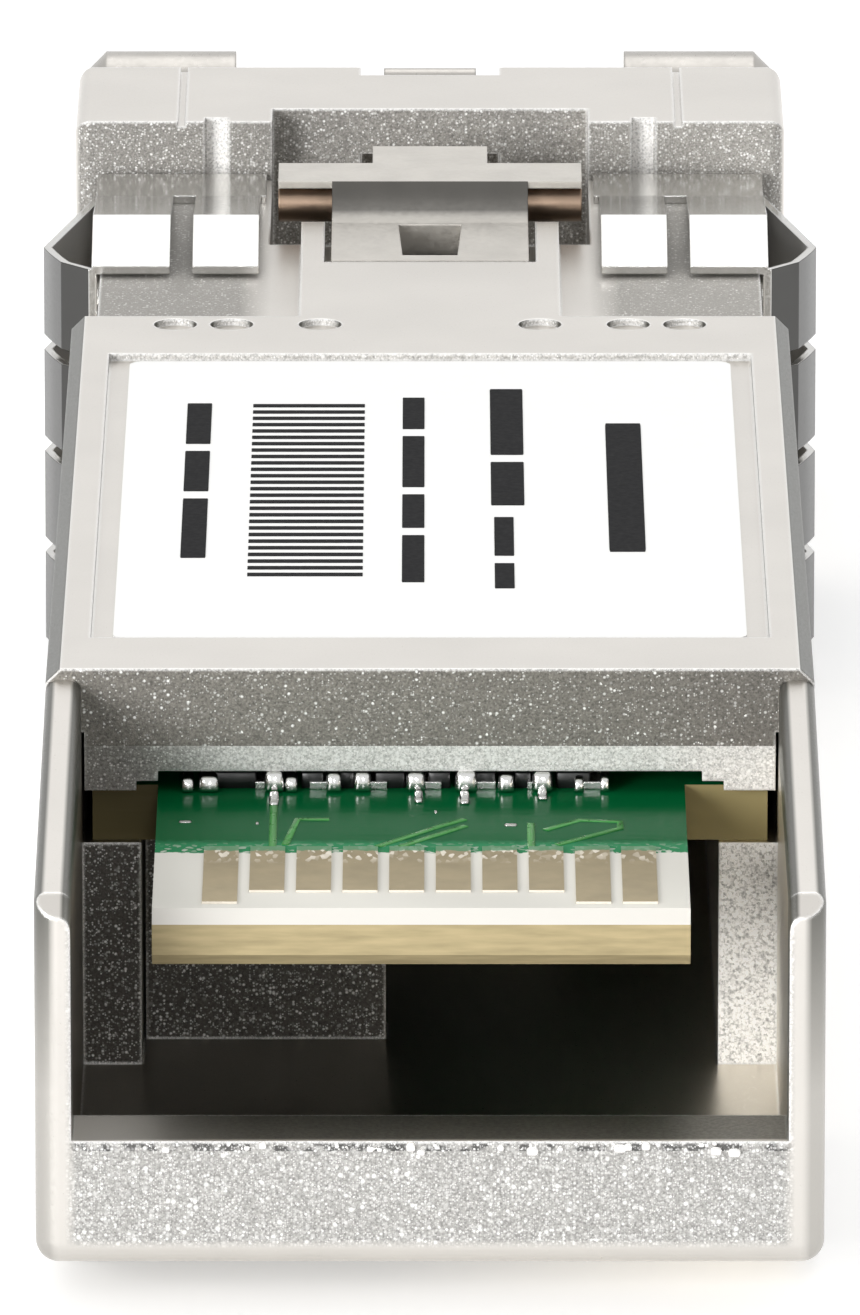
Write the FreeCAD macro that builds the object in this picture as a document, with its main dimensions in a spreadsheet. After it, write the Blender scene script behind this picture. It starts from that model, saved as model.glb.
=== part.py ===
"""Pluggable optical transceiver: cast housing and cover, circuit board, two optical
subassemblies, spring collar, and a bail handle that draws in the latch lever.

Frame: +Y runs from the host end to the bail, +Z points out of the label face, X is
across. The flat heat-sink face lies on Z = 0. Lengths are in millimetres.
"""
import FreeCAD, Part
import math
import os

import Sketcher

DIMENSIONS = {
    # Housing tub
    "floor_thickness": 1.2,
    "skirt_wall": 0.62,
    "skirt_drop": 0.2,
    "skirt_corner": 0.35,
    "skirt_fall": 0.85,
    "skirt_round": 0.2,
    "sill_height": 3.15,
    "sill_length": 1.5,
    "lead_in_height": 1.0,
    "lead_in_length": 4.0,
    "bottom_round": 0.4,
    "rail_width": 1.03,
    "rail_setback": 0.3,
    "rail_overrun": 0.1,
    "pedestal_setback": 1.5,
    "pedestal_length": 1.0,
    "pedestal_rail_gap": 0.05,
    "pedestal_right": 0.78,
    "pedestal_card_gap": 0.35,
    "recess_wall": 0.65,
    "narrow_lead": 0.7,
    "bulkhead_thickness": 1.4,
    # Nose
    "nose_gap": 0.1,
    "nose_overhang": 0.1,
    "nose_rise": 0.7,
    "nose_round": 0.28,
    "nose_flange_length": 4.3,
    "port_block_length": 4.7,
    "port_pitch": 6.25,
    "port_width": 4.7,
    "port_height": 4.6,
    "port_side_wall": 0.375,
    "port_roof": 0.3,
    "port_wall": 0.9,
    "port_key_width": 2.4,
    "port_key_depth": 0.35,
    "port_key_length": 4.9,
    "step_groove_offset": 0.85,
    "step_groove_width": 0.45,
    "step_groove_depth": 0.3,
    "score_outer_inset": 2.12,
    "score_width": 0.14,
    "score_depth": 0.1,
    # Cover
    "cover_start": 10.4,
    "cover_plate": 1.15,
    "edge_chamfer": 0.25,
    "lip_length": 1.5,
    "lip_drop": 0.25,
    "lip_slant": 0.15,
    "lip_clearance": 0.05,
    "lip_notch_margin": 0.15,
    "lip_notch_depth": 0.37,
    "lip_step_width": 0.38,
    "lip_step_depth": 0.18,
    "recess_setback": 2.0,
    "recess_length": 19.2,
    "recess_rim": 0.75,
    "recess_depth": 0.14,
    "label_near_margin": 0.1,
    "label_far_margin": 0.4,
    "label_side_margin": 0.39,
    "label_thickness": 0.1,
    "label_corner": 0.25,
    "pit_setback": 2.1,
    "pit_radius": 0.4,
    "pit_depth": 0.12,
    "pit_inner": 2.05,
    "pit_inner_step": 1.65,
    "pit_outer_step": 1.05,
    # Spring collar and the recess that it sits in
    "collar_setback": 0.6,
    "collar_recess": 0.45,
    "collar_land_margin": 0.45,
    "collar_sheet": 0.16,
    "collar_mouth_gap": 0.1,
    "tip_setback": 4.55,
    "tip_to_knee": 0.55,
    "knee_to_crest": 1.1,
    "crest_to_band": 3.9,
    "band_length": 1.7,
    "band_clearance": 0.1,
    "side_finger_rise": 0.94,
    "top_finger_rise": 0.64,
    "finger_knee_drop": 0.35,
    "finger_tip_lift": 0.06,
    "finger_bend": 8.0,
    "top_finger_setback": 0.2,
    "top_finger_width": 1.25,
    "top_finger_gap": 0.43,
    "side_finger_first": 0.5,
    "side_finger_gap": 0.3,
    # Circuit board
    "card_setback": 3.2,
    "card_width": 9.2,
    "card_offset": 0.15,
    "card_thickness": 1.0,
    "card_depth": 2.25,
    "card_bevel": 0.23,
    "ear_setback": 0.5,
    "ear_gap": 0.18,
    "board_end_gap": 2.2,
    "pad_pitch": 0.8,
    "pad_width": 0.6,
    "pad_reach": 3.8,
    "long_pad_setback": 0.48,
    "short_pad_setback": 1.16,
    "pad_thickness": 0.04,
    # Board components
    "chip_body_width": 6.4,
    "chip_body_length": 4.0,
    "chip_setback": 0.4,
    "chip_body_height": 0.75,
    "chip_standoff": 0.1,
    "lead_pitch": 0.95,
    "lead_width": 0.4,
    "lead_sheet": 0.14,
    "lead_toe_setback": 0.2,
    "lead_shin_run": 0.35,
    "controller_gap": 3.3,
    "controller_size": 4.0,
    "controller_height": 0.8,
    "driver_offset": 2.4,
    "driver_size": 4.0,
    "driver_height": 0.9,
    "thermal_gap": 0.75,
    "plinth_margin": 0.3,
    "capacitor_gap": 2.0,
    "capacitor_length": 1.0,
    "capacitor_width": 0.5,
    "capacitor_height": 0.5,
    "capacitor_pitch": 1.3,
    # Optical subassemblies
    "sleeve_radius": 1.45,
    "sleeve_bore": 0.63,
    "sleeve_reach": 3.1,
    "sleeve_lead_in": 0.3,
    "sleeve_seat_clearance": 0.05,
    "flange_radius": 2.2,
    "flange_length": 1.2,
    "can_radius": 1.9,
    "can_length": 3.5,
    "header_radius": 2.35,
    "header_length": 1.0,
    "header_clearance": 0.3,
    "header_side_clearance": 0.125,
    "stem_lead_radius": 0.2,
    "stem_lead_circle": 1.1,
    "stem_lead_length": 1.1,
    "flex_width": 3.2,
    "flex_sheet": 0.12,
    "flex_overlap": 1.4,
    "clamp_setback": 0.7,
    "clamp_length": 1.6,
    "clamp_side_gap": 0.1,
    # Latch lever
    "pivot_setback": 4.0,
    "pivot_pin_radius": 0.3,
    "pivot_clearance": 0.03,
    "barrel_radius": 0.55,
    "lug_gap": 0.1,
    "lug_width": 0.8,
    "lug_wall": 0.3,
    "tongue_half": 1.87,
    "tongue_gap": 0.13,
    "tongue_end_gap": 0.1,
    "tongue_setback": 0.1,
    "tongue_length": 2.8,
    "tongue_thickness": 0.6,
    "ramp_length": 1.1,
    "wing_length": 1.4,
    "wing_half": 2.9,
    "wing_thickness": 0.15,
    "latch_height": 0.54,
    "tab_half": 1.1,
    "tab_length": 1.3,
    "tail_half": 1.1,
    "tail_travel": 0.85,
    "tail_thickness": 0.5,
    "tail_axle_gap": 0.7,
    "window_near_margin": 0.4,
    "window_far_margin": 0.1,
    "window_near_half": 0.52,
    "window_far_half": 0.6,
    "cross_pin_setback": 0.45,
    "cross_pin_radius": 0.37,
    "cross_pin_gap": 0.01,
    # Latch channel
    "channel_depth": 2.05,
    "channel_gap": 0.15,
    "channel_lead": 0.1,
    "channel_reach": 1.0,
    "tunnel_gap": 0.25,
    "tunnel_headroom": 0.5,
    # Latch spring
    "spring_sheet": 0.15,
    "spring_half": 0.8,
    "spring_foot_gap": 0.2,
    "spring_heel_gap": 0.6,
    "spring_tip_gap": 1.1,
    # Bail
    "axle_setback": 1.3,
    "axle_depth": 0.35,
    "axle_radius": 0.4,
    "axle_end_inset": 0.15,
    "axle_clearance": 0.05,
    "axle_grip": 0.01,
    "axle_lug_gap": 0.25,
    "axle_lug_width": 2.0,
    "axle_lug_wall": 0.2,
    "cam_bay_reach": 1.3,
    "cam_side_gap": 0.2,
    "cam_reach": 1.0,
    "cam_radius": 0.25,
    "cam_lift_angle": 40.0,
    "hub_wall": 0.62,
    "hub_gap": 0.2,
    "hub_deck_gap": 0.17,
    "arm_gap": 0.1,
    "arm_width": 0.8,
    "arm_depth": 1.0,
    "arm_drop": 2.2,
    "bail_chamfer": 0.4,
    "bail_gap": 0.2,
    "bar_bottom": 0.1,
    # How far a cut runs out past the face that it opens
    "cut_overrun": 2.0,
}

doc = FreeCAD.newDocument("Transceiver")
sheet = doc.addObject("Spreadsheet::Sheet", "Dimensions")
for row, (alias, number) in enumerate(DIMENSIONS.items(), start=1):
    sheet.set(f"A{row}", alias)
    sheet.set(f"B{row}", str(number))
    sheet.setAlias(f"B{row}", alias)
doc.recompute()


class Size:
    """A length together with the sheet formula that gives it."""

    def __init__(self, value, formula):
        self.value = value
        self.formula = formula

    @staticmethod
    def of(other):
        if isinstance(other, Size):
            return other
        return Size(float(other), f"({float(other)})")

    def join(self, other, sign, value):
        return Size(value, f"({self.formula} {sign} {other.formula})")

    def __add__(self, other):
        other = Size.of(other)
        return self.join(other, "+", self.value + other.value)

    def __sub__(self, other):
        other = Size.of(other)
        return self.join(other, "-", self.value - other.value)

    def __mul__(self, other):
        other = Size.of(other)
        return self.join(other, "*", self.value * other.value)

    def __truediv__(self, other):
        other = Size.of(other)
        return self.join(other, "/", self.value / other.value)

    def __rsub__(self, other):
        return Size.of(other) - self

    def __neg__(self):
        return Size.of(0) - self

    __radd__ = __add__
    __rmul__ = __mul__


class Named:
    """Every alias of the sheet as a Size."""

    def __init__(self):
        for alias in DIMENSIONS:
            setattr(self, alias, Size(float(sheet.get(alias)), f"Dimensions.{alias}"))


d = Named()

# Heights stack up from the heat-sink face
d.port_axis_height = d.floor_thickness + d.header_clearance + d.header_radius
d.channel_floor = d.port_axis_height + d.port_height / 2 + d.port_roof
d.body_height = d.channel_floor + d.channel_depth
d.skirt_height = d.body_height - d.skirt_drop
d.skirt_tip_height = d.skirt_height - d.skirt_fall
d.nose_height = d.body_height + d.nose_rise
d.axle_height = d.body_height - d.axle_depth
d.hub_radius = d.axle_radius + d.hub_wall
d.nose_deck = d.axle_height - d.hub_radius - d.hub_deck_gap
d.tail_low = d.channel_floor + d.tail_travel
d.tail_top = d.tail_low + d.tail_thickness
d.tunnel_roof = d.tail_top + d.tunnel_headroom
d.cross_pin_height = d.body_height + d.latch_height - d.wing_thickness - d.cross_pin_gap - d.cross_pin_radius
SEAM = d.body_height - d.cover_plate
CARD_TOP = d.body_height - d.card_depth
CARD_BOTTOM = CARD_TOP - d.card_thickness
RECESSED_TOP = d.body_height - d.collar_recess
d.lip_break = SEAM - d.lip_drop
d.pivot_height = SEAM - d.barrel_radius
d.lug_reach = d.pivot_pin_radius + d.lug_wall
d.pedestal_height = CARD_BOTTOM - d.pedestal_card_gap

# Half widths grow outwards from the two optical axes
d.narrow_half = d.port_pitch / 2 + d.header_radius + d.header_side_clearance
RECESSED_HALF = d.narrow_half + d.recess_wall
BODY_HALF = RECESSED_HALF + d.collar_recess
INNER_HALF = BODY_HALF - d.skirt_wall
d.nose_front_half = d.port_pitch / 2 + d.port_width / 2 + d.port_side_wall
d.bail_half = d.nose_front_half + d.arm_gap + d.arm_width
NOSE_HALF = d.bail_half + d.nose_overhang
d.recess_half = BODY_HALF - d.recess_rim
d.label_half = d.recess_half - d.label_side_margin
d.ear_half = INNER_HALF - d.ear_gap
d.lip_notch_half = d.card_width / 2 + d.lip_notch_margin
d.pedestal_left = INNER_HALF - d.rail_width - d.pedestal_rail_gap
d.pit_middle = d.pit_inner + d.pit_inner_step
d.pit_outer = d.pit_middle + d.pit_outer_step
d.channel_half = d.wing_half + d.channel_gap
d.collar_land_half = d.tongue_half + d.tongue_gap + d.collar_land_margin
d.tunnel_half = d.tail_half + d.tunnel_gap
d.cam_half = d.tail_half - d.cam_side_gap
d.axle_half = d.bail_half - d.axle_end_inset
d.axle_lug_inner = d.tunnel_half + d.axle_lug_gap
d.axle_lug_outer = d.axle_lug_inner + d.axle_lug_width
d.axle_lug_radius = d.axle_radius + d.axle_clearance + d.axle_lug_wall
d.hub_inner = d.axle_lug_outer + d.hub_gap
d.step_groove = d.channel_half + d.step_groove_offset
d.score_outer = NOSE_HALF - d.score_outer_inset

# Distances from the host end, each from the piece before it
d.rail_start = d.cover_start + d.rail_setback
d.pedestal_start = d.rail_start + d.pedestal_setback
d.ear_start = d.cover_start + d.ear_setback
d.recess_start = d.cover_start + d.recess_setback
d.recess_end = d.recess_start + d.recess_length
d.label_start = d.recess_start + d.label_near_margin
d.label_end = d.recess_end - d.label_far_margin
d.pit_row = d.recess_end + d.pit_setback
d.collar_start = d.pit_row + d.collar_setback
d.narrow_start = d.collar_start - d.narrow_lead
d.board_end = d.narrow_start - d.board_end_gap
d.rail_end = d.board_end + d.rail_overrun
d.finger_tip = d.collar_start + d.tip_setback
d.finger_knee = d.finger_tip + d.tip_to_knee
d.finger_crest = d.finger_knee + d.knee_to_crest
d.band_start = d.finger_crest + d.crest_to_band
d.band_end = d.band_start + d.band_length
d.cover_end = d.band_end + d.band_clearance
d.nose_start = d.cover_end + d.nose_gap
d.nose_top_end = d.nose_start + d.nose_flange_length
d.nose_front = d.nose_top_end + d.port_block_length
d.overall_length = d.nose_front + d.bail_gap + d.arm_depth
d.bulkhead_start = d.nose_start - d.bulkhead_thickness
d.port_back = d.nose_start + d.port_wall
d.port_key_back = d.nose_front - d.port_key_length
d.sleeve_front = d.port_back + d.sleeve_reach
d.pad_end = d.card_setback + d.pad_reach
d.long_pad_start = d.card_setback + d.long_pad_setback
d.short_pad_start = d.card_setback + d.short_pad_setback
d.chip_body_start = d.cover_start + d.lip_length + d.chip_setback
d.lead_toe = d.cover_start + d.lead_toe_setback
d.lead_knee = d.chip_body_start - d.lead_shin_run
d.controller_start = d.chip_body_start + d.chip_body_length + d.controller_gap
d.driver_start = d.controller_start + d.driver_offset
d.capacitor_start = d.controller_start + d.controller_size + d.capacitor_gap
d.pivot_back = d.collar_start + d.pivot_setback
d.tongue_start = d.pivot_back + d.tongue_setback
d.ramp_start = d.tongue_start + d.tongue_length
d.wing_start = d.ramp_start + d.ramp_length
d.wing_end = d.wing_start + d.wing_length
d.shoulder = d.wing_end + d.tab_length
d.window_start = d.tongue_start + d.window_near_margin
d.window_end = d.ramp_start - d.window_far_margin
d.channel_start = d.ramp_start + d.channel_lead
d.channel_back = d.nose_start + d.channel_reach
d.cross_pin_back = d.wing_start + d.cross_pin_setback
d.axle_back = d.nose_top_end + d.axle_setback
d.tail_end = d.axle_back - d.tail_axle_gap
d.tunnel_end = d.axle_back + d.cam_bay_reach
d.spring_foot_end = d.channel_back - d.spring_foot_gap
d.spring_heel = d.nose_start - d.spring_heel_gap
d.spring_tip = d.shoulder - d.spring_tip_gap

HOST_END = -d.overall_length / 2
SIDES = (("transmit", -1), ("receive", 1))


def along(distance):
    """Y of a point that is this far from the host end."""
    return HOST_END + distance


def bind(item, path, size):
    item.setExpression(path, Size.of(size).formula)


AXIS_OF_PLANE = {"XY_Plane": 1, "XZ_Plane": -1, "YZ_Plane": 1}


def origin_plane(body, role):
    return next(f for f in body.Origin.OriginFeatures if f.Role == role)


def pin_vertex(sketch, geometry, end, u, v):
    """Hold one end of a sketch edge at (u, v), both bound to the sheet."""
    for kind, size in (("DistanceX", u), ("DistanceY", v)):
        size = Size.of(size)
        number = sketch.addConstraint(Sketcher.Constraint(kind, -1, 1, geometry, end, size.value))
        bind(sketch, f"Constraints[{number}]", size)


def add_circle(sketch, u, v, radius):
    u, v, radius = Size.of(u), Size.of(v), Size.of(radius)
    centre = FreeCAD.Vector(u.value, v.value, 0)
    edge = sketch.addGeometry(Part.Circle(centre, FreeCAD.Vector(0, 0, 1), radius.value))
    pin_vertex(sketch, edge, 3, u, v)
    number = sketch.addConstraint(Sketcher.Constraint("Radius", edge, radius.value))
    bind(sketch, f"Constraints[{number}]", radius)


def short_arc(start, end, radius):
    """Counter-clockwise arc for a positive radius, clockwise for a negative one."""
    if radius < 0:
        start, end = end, start
    chord = end - start
    half = chord.Length / 2
    left = FreeCAD.Vector(-chord.y, chord.x, 0).normalize()
    centre = start + chord / 2 + left * math.sqrt(radius * radius - half * half)
    first = math.atan2(start.y - centre.y, start.x - centre.x)
    last = math.atan2(end.y - centre.y, end.x - centre.x)
    circle = Part.Circle(centre, FreeCAD.Vector(0, 0, 1), abs(radius))
    return Part.ArcOfCircle(circle, first, last)


def add_loop(sketch, corners):
    """Close a loop of corners (u, v) or (u, v, r), where r bends the edge to the next corner."""
    points = []
    for corner in corners:
        u, v = Size.of(corner[0]), Size.of(corner[1])
        points.append((u, v, FreeCAD.Vector(u.value, v.value, 0)))
    edges = []
    for index, corner in enumerate(corners):
        start = points[index][2]
        end = points[(index + 1) % len(points)][2]
        if len(corner) == 2:
            edges.append((sketch.addGeometry(Part.LineSegment(start, end)), 1, 2))
            continue
        radius = Size.of(corner[2])
        edge = sketch.addGeometry(short_arc(start, end, radius.value))
        edges.append((edge, 1, 2) if radius.value > 0 else (edge, 2, 1))
        bend = radius if radius.value > 0 else -radius
        number = sketch.addConstraint(Sketcher.Constraint("Radius", edge, bend.value))
        bind(sketch, f"Constraints[{number}]", bend)
    for index, (edge, first, last) in enumerate(edges):
        following, next_first, _ = edges[(index + 1) % len(edges)]
        sketch.addConstraint(Sketcher.Constraint("Coincident", edge, last, following, next_first))
        pin_vertex(sketch, edge, first, points[index][0], points[index][1])


def add_sketch(body, plane, level, loops):
    sketch = body.newObject("Sketcher::SketchObject", "Sketch")
    sketch.AttachmentSupport = [(origin_plane(body, plane), "")]
    sketch.MapMode = "FlatFace"
    bind(sketch, "AttachmentOffset.Base.z", Size.of(level) * AXIS_OF_PLANE[plane])
    for loop in loops:
        if loop[0] == "circle":
            add_circle(sketch, *loop[1:])
        else:
            add_loop(sketch, loop)
    return sketch


def new_body(label):
    body = doc.addObject("PartDesign::Body", label)
    body.Label = label
    return body


def volume_of(body):
    if body.Tip is None or body.Tip.Shape.isNull():
        return 0.0
    return body.Tip.Shape.Volume


def add_feature(body, kind, plane, loops, low, high, level, grows):
    low, high = Size.of(low), Size.of(high)
    before = volume_of(body)
    sketch = add_sketch(body, plane, level, loops)
    feature = body.newObject(kind, kind.split("::")[1])
    feature.Profile = sketch
    bind(feature, "Length", high - low)
    doc.recompute()
    after = volume_of(body)
    if (after > before) != grows or abs(after - before) < 1e-6:
        raise RuntimeError(f"{body.Label}: {feature.Name} changed the volume from {before} to {after}")
    return feature


def pad(body, plane, loops, low, high):
    """Grow the body by an outline that runs from low to high across the plane."""
    level = high if plane == "XZ_Plane" else low
    return add_feature(body, "PartDesign::Pad", plane, loops, low, high, level, True)


def pocket(body, plane, loops, low, high):
    """Cut an outline out of the body from low to high across the plane."""
    level = low if plane == "XZ_Plane" else high
    return add_feature(body, "PartDesign::Pocket", plane, loops, low, high, level, False)


def revolve(body, loop):
    """Turn an outline of (radius, Y) corners about the body's own Y axis."""
    sketch = add_sketch(body, "XY_Plane", 0, [loop])
    feature = body.newObject("PartDesign::Revolution", "Revolution")
    feature.Profile = sketch
    feature.ReferenceAxis = (sketch, ["V_Axis"])
    feature.Angle = 360
    doc.recompute()
    return feature


def dress(body, kind, size, wanted):
    """Chamfer or fillet every edge of the body whose two ends pass the test."""
    base = body.Tip
    names = []
    for number, edge in enumerate(base.Shape.Edges, start=1):
        ends = [vertex.Point for vertex in edge.Vertexes]
        if len(ends) == 2 and wanted(ends[0], ends[1]):
            names.append(f"Edge{number}")
    if not names:
        raise RuntimeError(f"{body.Label}: no edge to dress")
    feature = body.newObject(kind, kind.split("::")[1])
    feature.Base = (base, names)
    bind(feature, "Size" if kind.endswith("Chamfer") else "Radius", size)
    doc.recompute()


def near(a, b):
    return abs(a - b) < 1e-4


def rectangle(left, low, right, high):
    return [(left, low), (right, low), (right, high), (left, high)]


def box(name, left, right, back, front, low, high):
    """A block between the given planes, as a member of a group of like pieces."""
    block = doc.addObject("Part::Box", name)
    bind(block, "Length", right - left)
    bind(block, "Width", front - back)
    bind(block, "Height", high - low)
    bind(block, "Placement.Base.x", left)
    bind(block, "Placement.Base.y", back)
    bind(block, "Placement.Base.z", low)
    return block


def group(label, members):
    compound = doc.addObject("Part::Compound", label)
    compound.Label = label
    compound.Links = members
    return compound


def rod(label, radius, half, back, height):
    """A plain pin across the module."""
    body = new_body(label)
    pad(body, "YZ_Plane", [("circle", along(back), height, radius)], -half, half)
    return body


def is_outer_corner(a, b):
    """Edges round the bottom of the tub and up the two corners of its host end."""
    low = max(a.z, b.z) < d.lead_in_height.value + 1e-4
    upright = near(a.y, b.y) and near(a.x, b.x) and near(a.y, along(0).value)
    return upright or low and (near(a.x, b.x) or near(a.y, along(0).value))


def is_skirt_rim(a, b):
    """Long falling edges on top of a skirt, and its sloped corner at the host end."""
    low = d.skirt_tip_height.value - d.skirt_corner.value - 1e-4
    last = along(d.cover_start).value + 1e-4
    return near(a.x, b.x) and min(a.z, b.z) > low and max(a.y, b.y) < last and not near(a.y, b.y)


def build_base_housing():
    """Cast tub with skirts, board rails, bulkhead and the nose with its two ports."""
    body = new_body("base_housing")
    tub = [
        (along(0), d.lead_in_height),
        (along(d.lead_in_length), Size.of(0)),
        (along(d.nose_start), Size.of(0)),
        (along(d.nose_start), SEAM),
        (along(d.cover_start), SEAM),
        (along(d.cover_start), d.skirt_height),
        (along(d.skirt_corner), d.skirt_tip_height),
        (along(0), d.skirt_tip_height - d.skirt_corner),
    ]
    pad(body, "YZ_Plane", [tub], -BODY_HALF, BODY_HALF)
    dress(body, "PartDesign::Fillet", d.bottom_round, is_outer_corner)
    board_bay = [
        (along(0) - d.cut_overrun, d.sill_height),
        (along(d.sill_length), d.sill_height),
        (along(d.sill_length), d.floor_thickness),
        (along(d.narrow_start), d.floor_thickness),
        (along(d.narrow_start), d.body_height + d.cut_overrun),
        (along(0) - d.cut_overrun, d.body_height + d.cut_overrun),
    ]
    pocket(body, "YZ_Plane", [board_bay], -INNER_HALF, INNER_HALF)
    dress(body, "PartDesign::Fillet", d.skirt_round, is_skirt_rim)
    optics_bay = rectangle(along(d.narrow_start) - d.skirt_wall, d.floor_thickness,
                           along(d.bulkhead_start), d.body_height + d.cut_overrun)
    pocket(body, "YZ_Plane", [optics_bay], -d.narrow_half, d.narrow_half)
    recesses = [rectangle(side * RECESSED_HALF, -d.cut_overrun,
                          side * (BODY_HALF + d.cut_overrun), d.body_height) for side in (-1, 1)]
    pocket(body, "XZ_Plane", recesses, along(d.collar_start), along(d.nose_start))
    band_bed = rectangle(-BODY_HALF, -d.cut_overrun, BODY_HALF, d.collar_sheet)
    pocket(body, "XZ_Plane", [band_bed], along(d.band_start), along(d.nose_start))
    rails = [rectangle(side * (INNER_HALF - d.rail_width), d.floor_thickness / 2,
                       side * (INNER_HALF + d.skirt_wall / 2), CARD_BOTTOM) for side in (-1, 1)]
    pad(body, "XZ_Plane", rails, along(d.rail_start), along(d.rail_end))
    pedestal = rectangle(-d.pedestal_left, d.floor_thickness / 2, -d.pedestal_right, d.pedestal_height)
    pad(body, "XZ_Plane", [pedestal], along(d.pedestal_start),
        along(d.pedestal_start + d.pedestal_length))
    plinth_half = d.driver_size / 2 + d.plinth_margin
    plinth = rectangle(-plinth_half, along(d.driver_start - d.plinth_margin),
                       plinth_half, along(d.driver_start + d.driver_size + d.plinth_margin))
    pad(body, "XY_Plane", [plinth], d.floor_thickness / 2,
        CARD_BOTTOM - d.driver_height - d.thermal_gap)
    nose = [
        (-NOSE_HALF, along(d.nose_start)),
        (NOSE_HALF, along(d.nose_start)),
        (NOSE_HALF, along(d.nose_top_end)),
        (d.nose_front_half, along(d.nose_top_end)),
        (d.nose_front_half, along(d.nose_front)),
        (-d.nose_front_half, along(d.nose_front)),
        (-d.nose_front_half, along(d.nose_top_end)),
        (-NOSE_HALF, along(d.nose_top_end)),
    ]
    pad(body, "XY_Plane", [nose], Size.of(0), d.nose_deck)
    flange = rectangle(-NOSE_HALF, along(d.nose_start), NOSE_HALF, along(d.nose_top_end))
    pad(body, "XY_Plane", [flange], d.nose_deck, d.nose_height)
    dress(body, "PartDesign::Fillet", d.nose_round,
          lambda a, b: near(abs(a.x), NOSE_HALF.value) and near(a.x, b.x))
    grooves = [rectangle(side * d.step_groove, along(d.nose_start) - d.cut_overrun,
                         side * (d.step_groove + d.step_groove_width),
                         along(d.nose_start) + d.step_groove_depth) for side in (-1, 1)]
    pocket(body, "XY_Plane", grooves, SEAM, d.nose_height + d.cut_overrun)
    scores = [rectangle(side * d.score_outer, along(d.nose_start) - d.cut_overrun,
                        side * (d.score_outer + d.score_width), along(d.nose_top_end) + d.cut_overrun)
              for side in (-1, 1)]
    pocket(body, "XY_Plane", scores, d.nose_height - d.score_depth, d.nose_height + d.cut_overrun)
    for side in (-1, 1):
        lug_ends = sorted((side * d.axle_lug_inner, side * d.axle_lug_outer), key=lambda s: s.value)
        lug = [
            (along(d.axle_back) - d.axle_lug_radius, d.nose_deck - d.skirt_wall / 2),
            (along(d.axle_back) + d.axle_lug_radius, d.nose_deck - d.skirt_wall / 2),
            (along(d.axle_back) + d.axle_lug_radius, d.axle_height),
            (along(d.axle_back) - d.axle_lug_radius, d.axle_height),
        ]
        pad(body, "YZ_Plane", [lug], *lug_ends)
        crown = ("circle", along(d.axle_back), d.axle_height, d.axle_lug_radius)
        pad(body, "YZ_Plane", [crown], *lug_ends)
    channel = rectangle(-d.channel_half, along(d.bulkhead_start) - d.cut_overrun,
                        d.channel_half, along(d.channel_back))
    pocket(body, "XY_Plane", [channel], d.channel_floor, d.nose_height + d.cut_overrun)
    tunnel = rectangle(along(d.channel_back) - d.skirt_wall, d.channel_floor,
                       along(d.tunnel_end), d.tunnel_roof)
    pocket(body, "YZ_Plane", [tunnel], -d.tunnel_half, d.tunnel_half)
    cam_bay = rectangle(-d.tunnel_half, along(d.nose_top_end) - d.skirt_wall,
                        d.tunnel_half, along(d.tunnel_end))
    pocket(body, "XY_Plane", [cam_bay], d.tunnel_roof - d.skirt_wall, d.nose_height + d.cut_overrun)
    bearing = ("circle", along(d.axle_back), d.axle_height, d.axle_radius + d.axle_clearance)
    pocket(body, "YZ_Plane", [bearing], -d.axle_lug_outer - d.score_width, d.axle_lug_outer + d.score_width)
    for _, side in SIDES:
        centre = side * d.port_pitch / 2
        port_floor = d.port_axis_height - d.port_height / 2
        port = rectangle(centre - d.port_width / 2, port_floor,
                         centre + d.port_width / 2, d.port_axis_height + d.port_height / 2)
        pocket(body, "XZ_Plane", [port], along(d.port_back), along(d.nose_front) + d.cut_overrun)
        key = rectangle(centre - d.port_key_width / 2, port_floor - d.port_key_depth,
                        centre + d.port_key_width / 2, d.port_axis_height)
        pocket(body, "XZ_Plane", [key], along(d.port_key_back), along(d.nose_front) + d.cut_overrun)
        seat = ("circle", centre, d.port_axis_height, d.sleeve_radius + d.sleeve_seat_clearance)
        pocket(body, "XZ_Plane", [seat], along(d.bulkhead_start) - d.skirt_wall,
               along(d.port_back) + d.skirt_wall)
    return body


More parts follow.
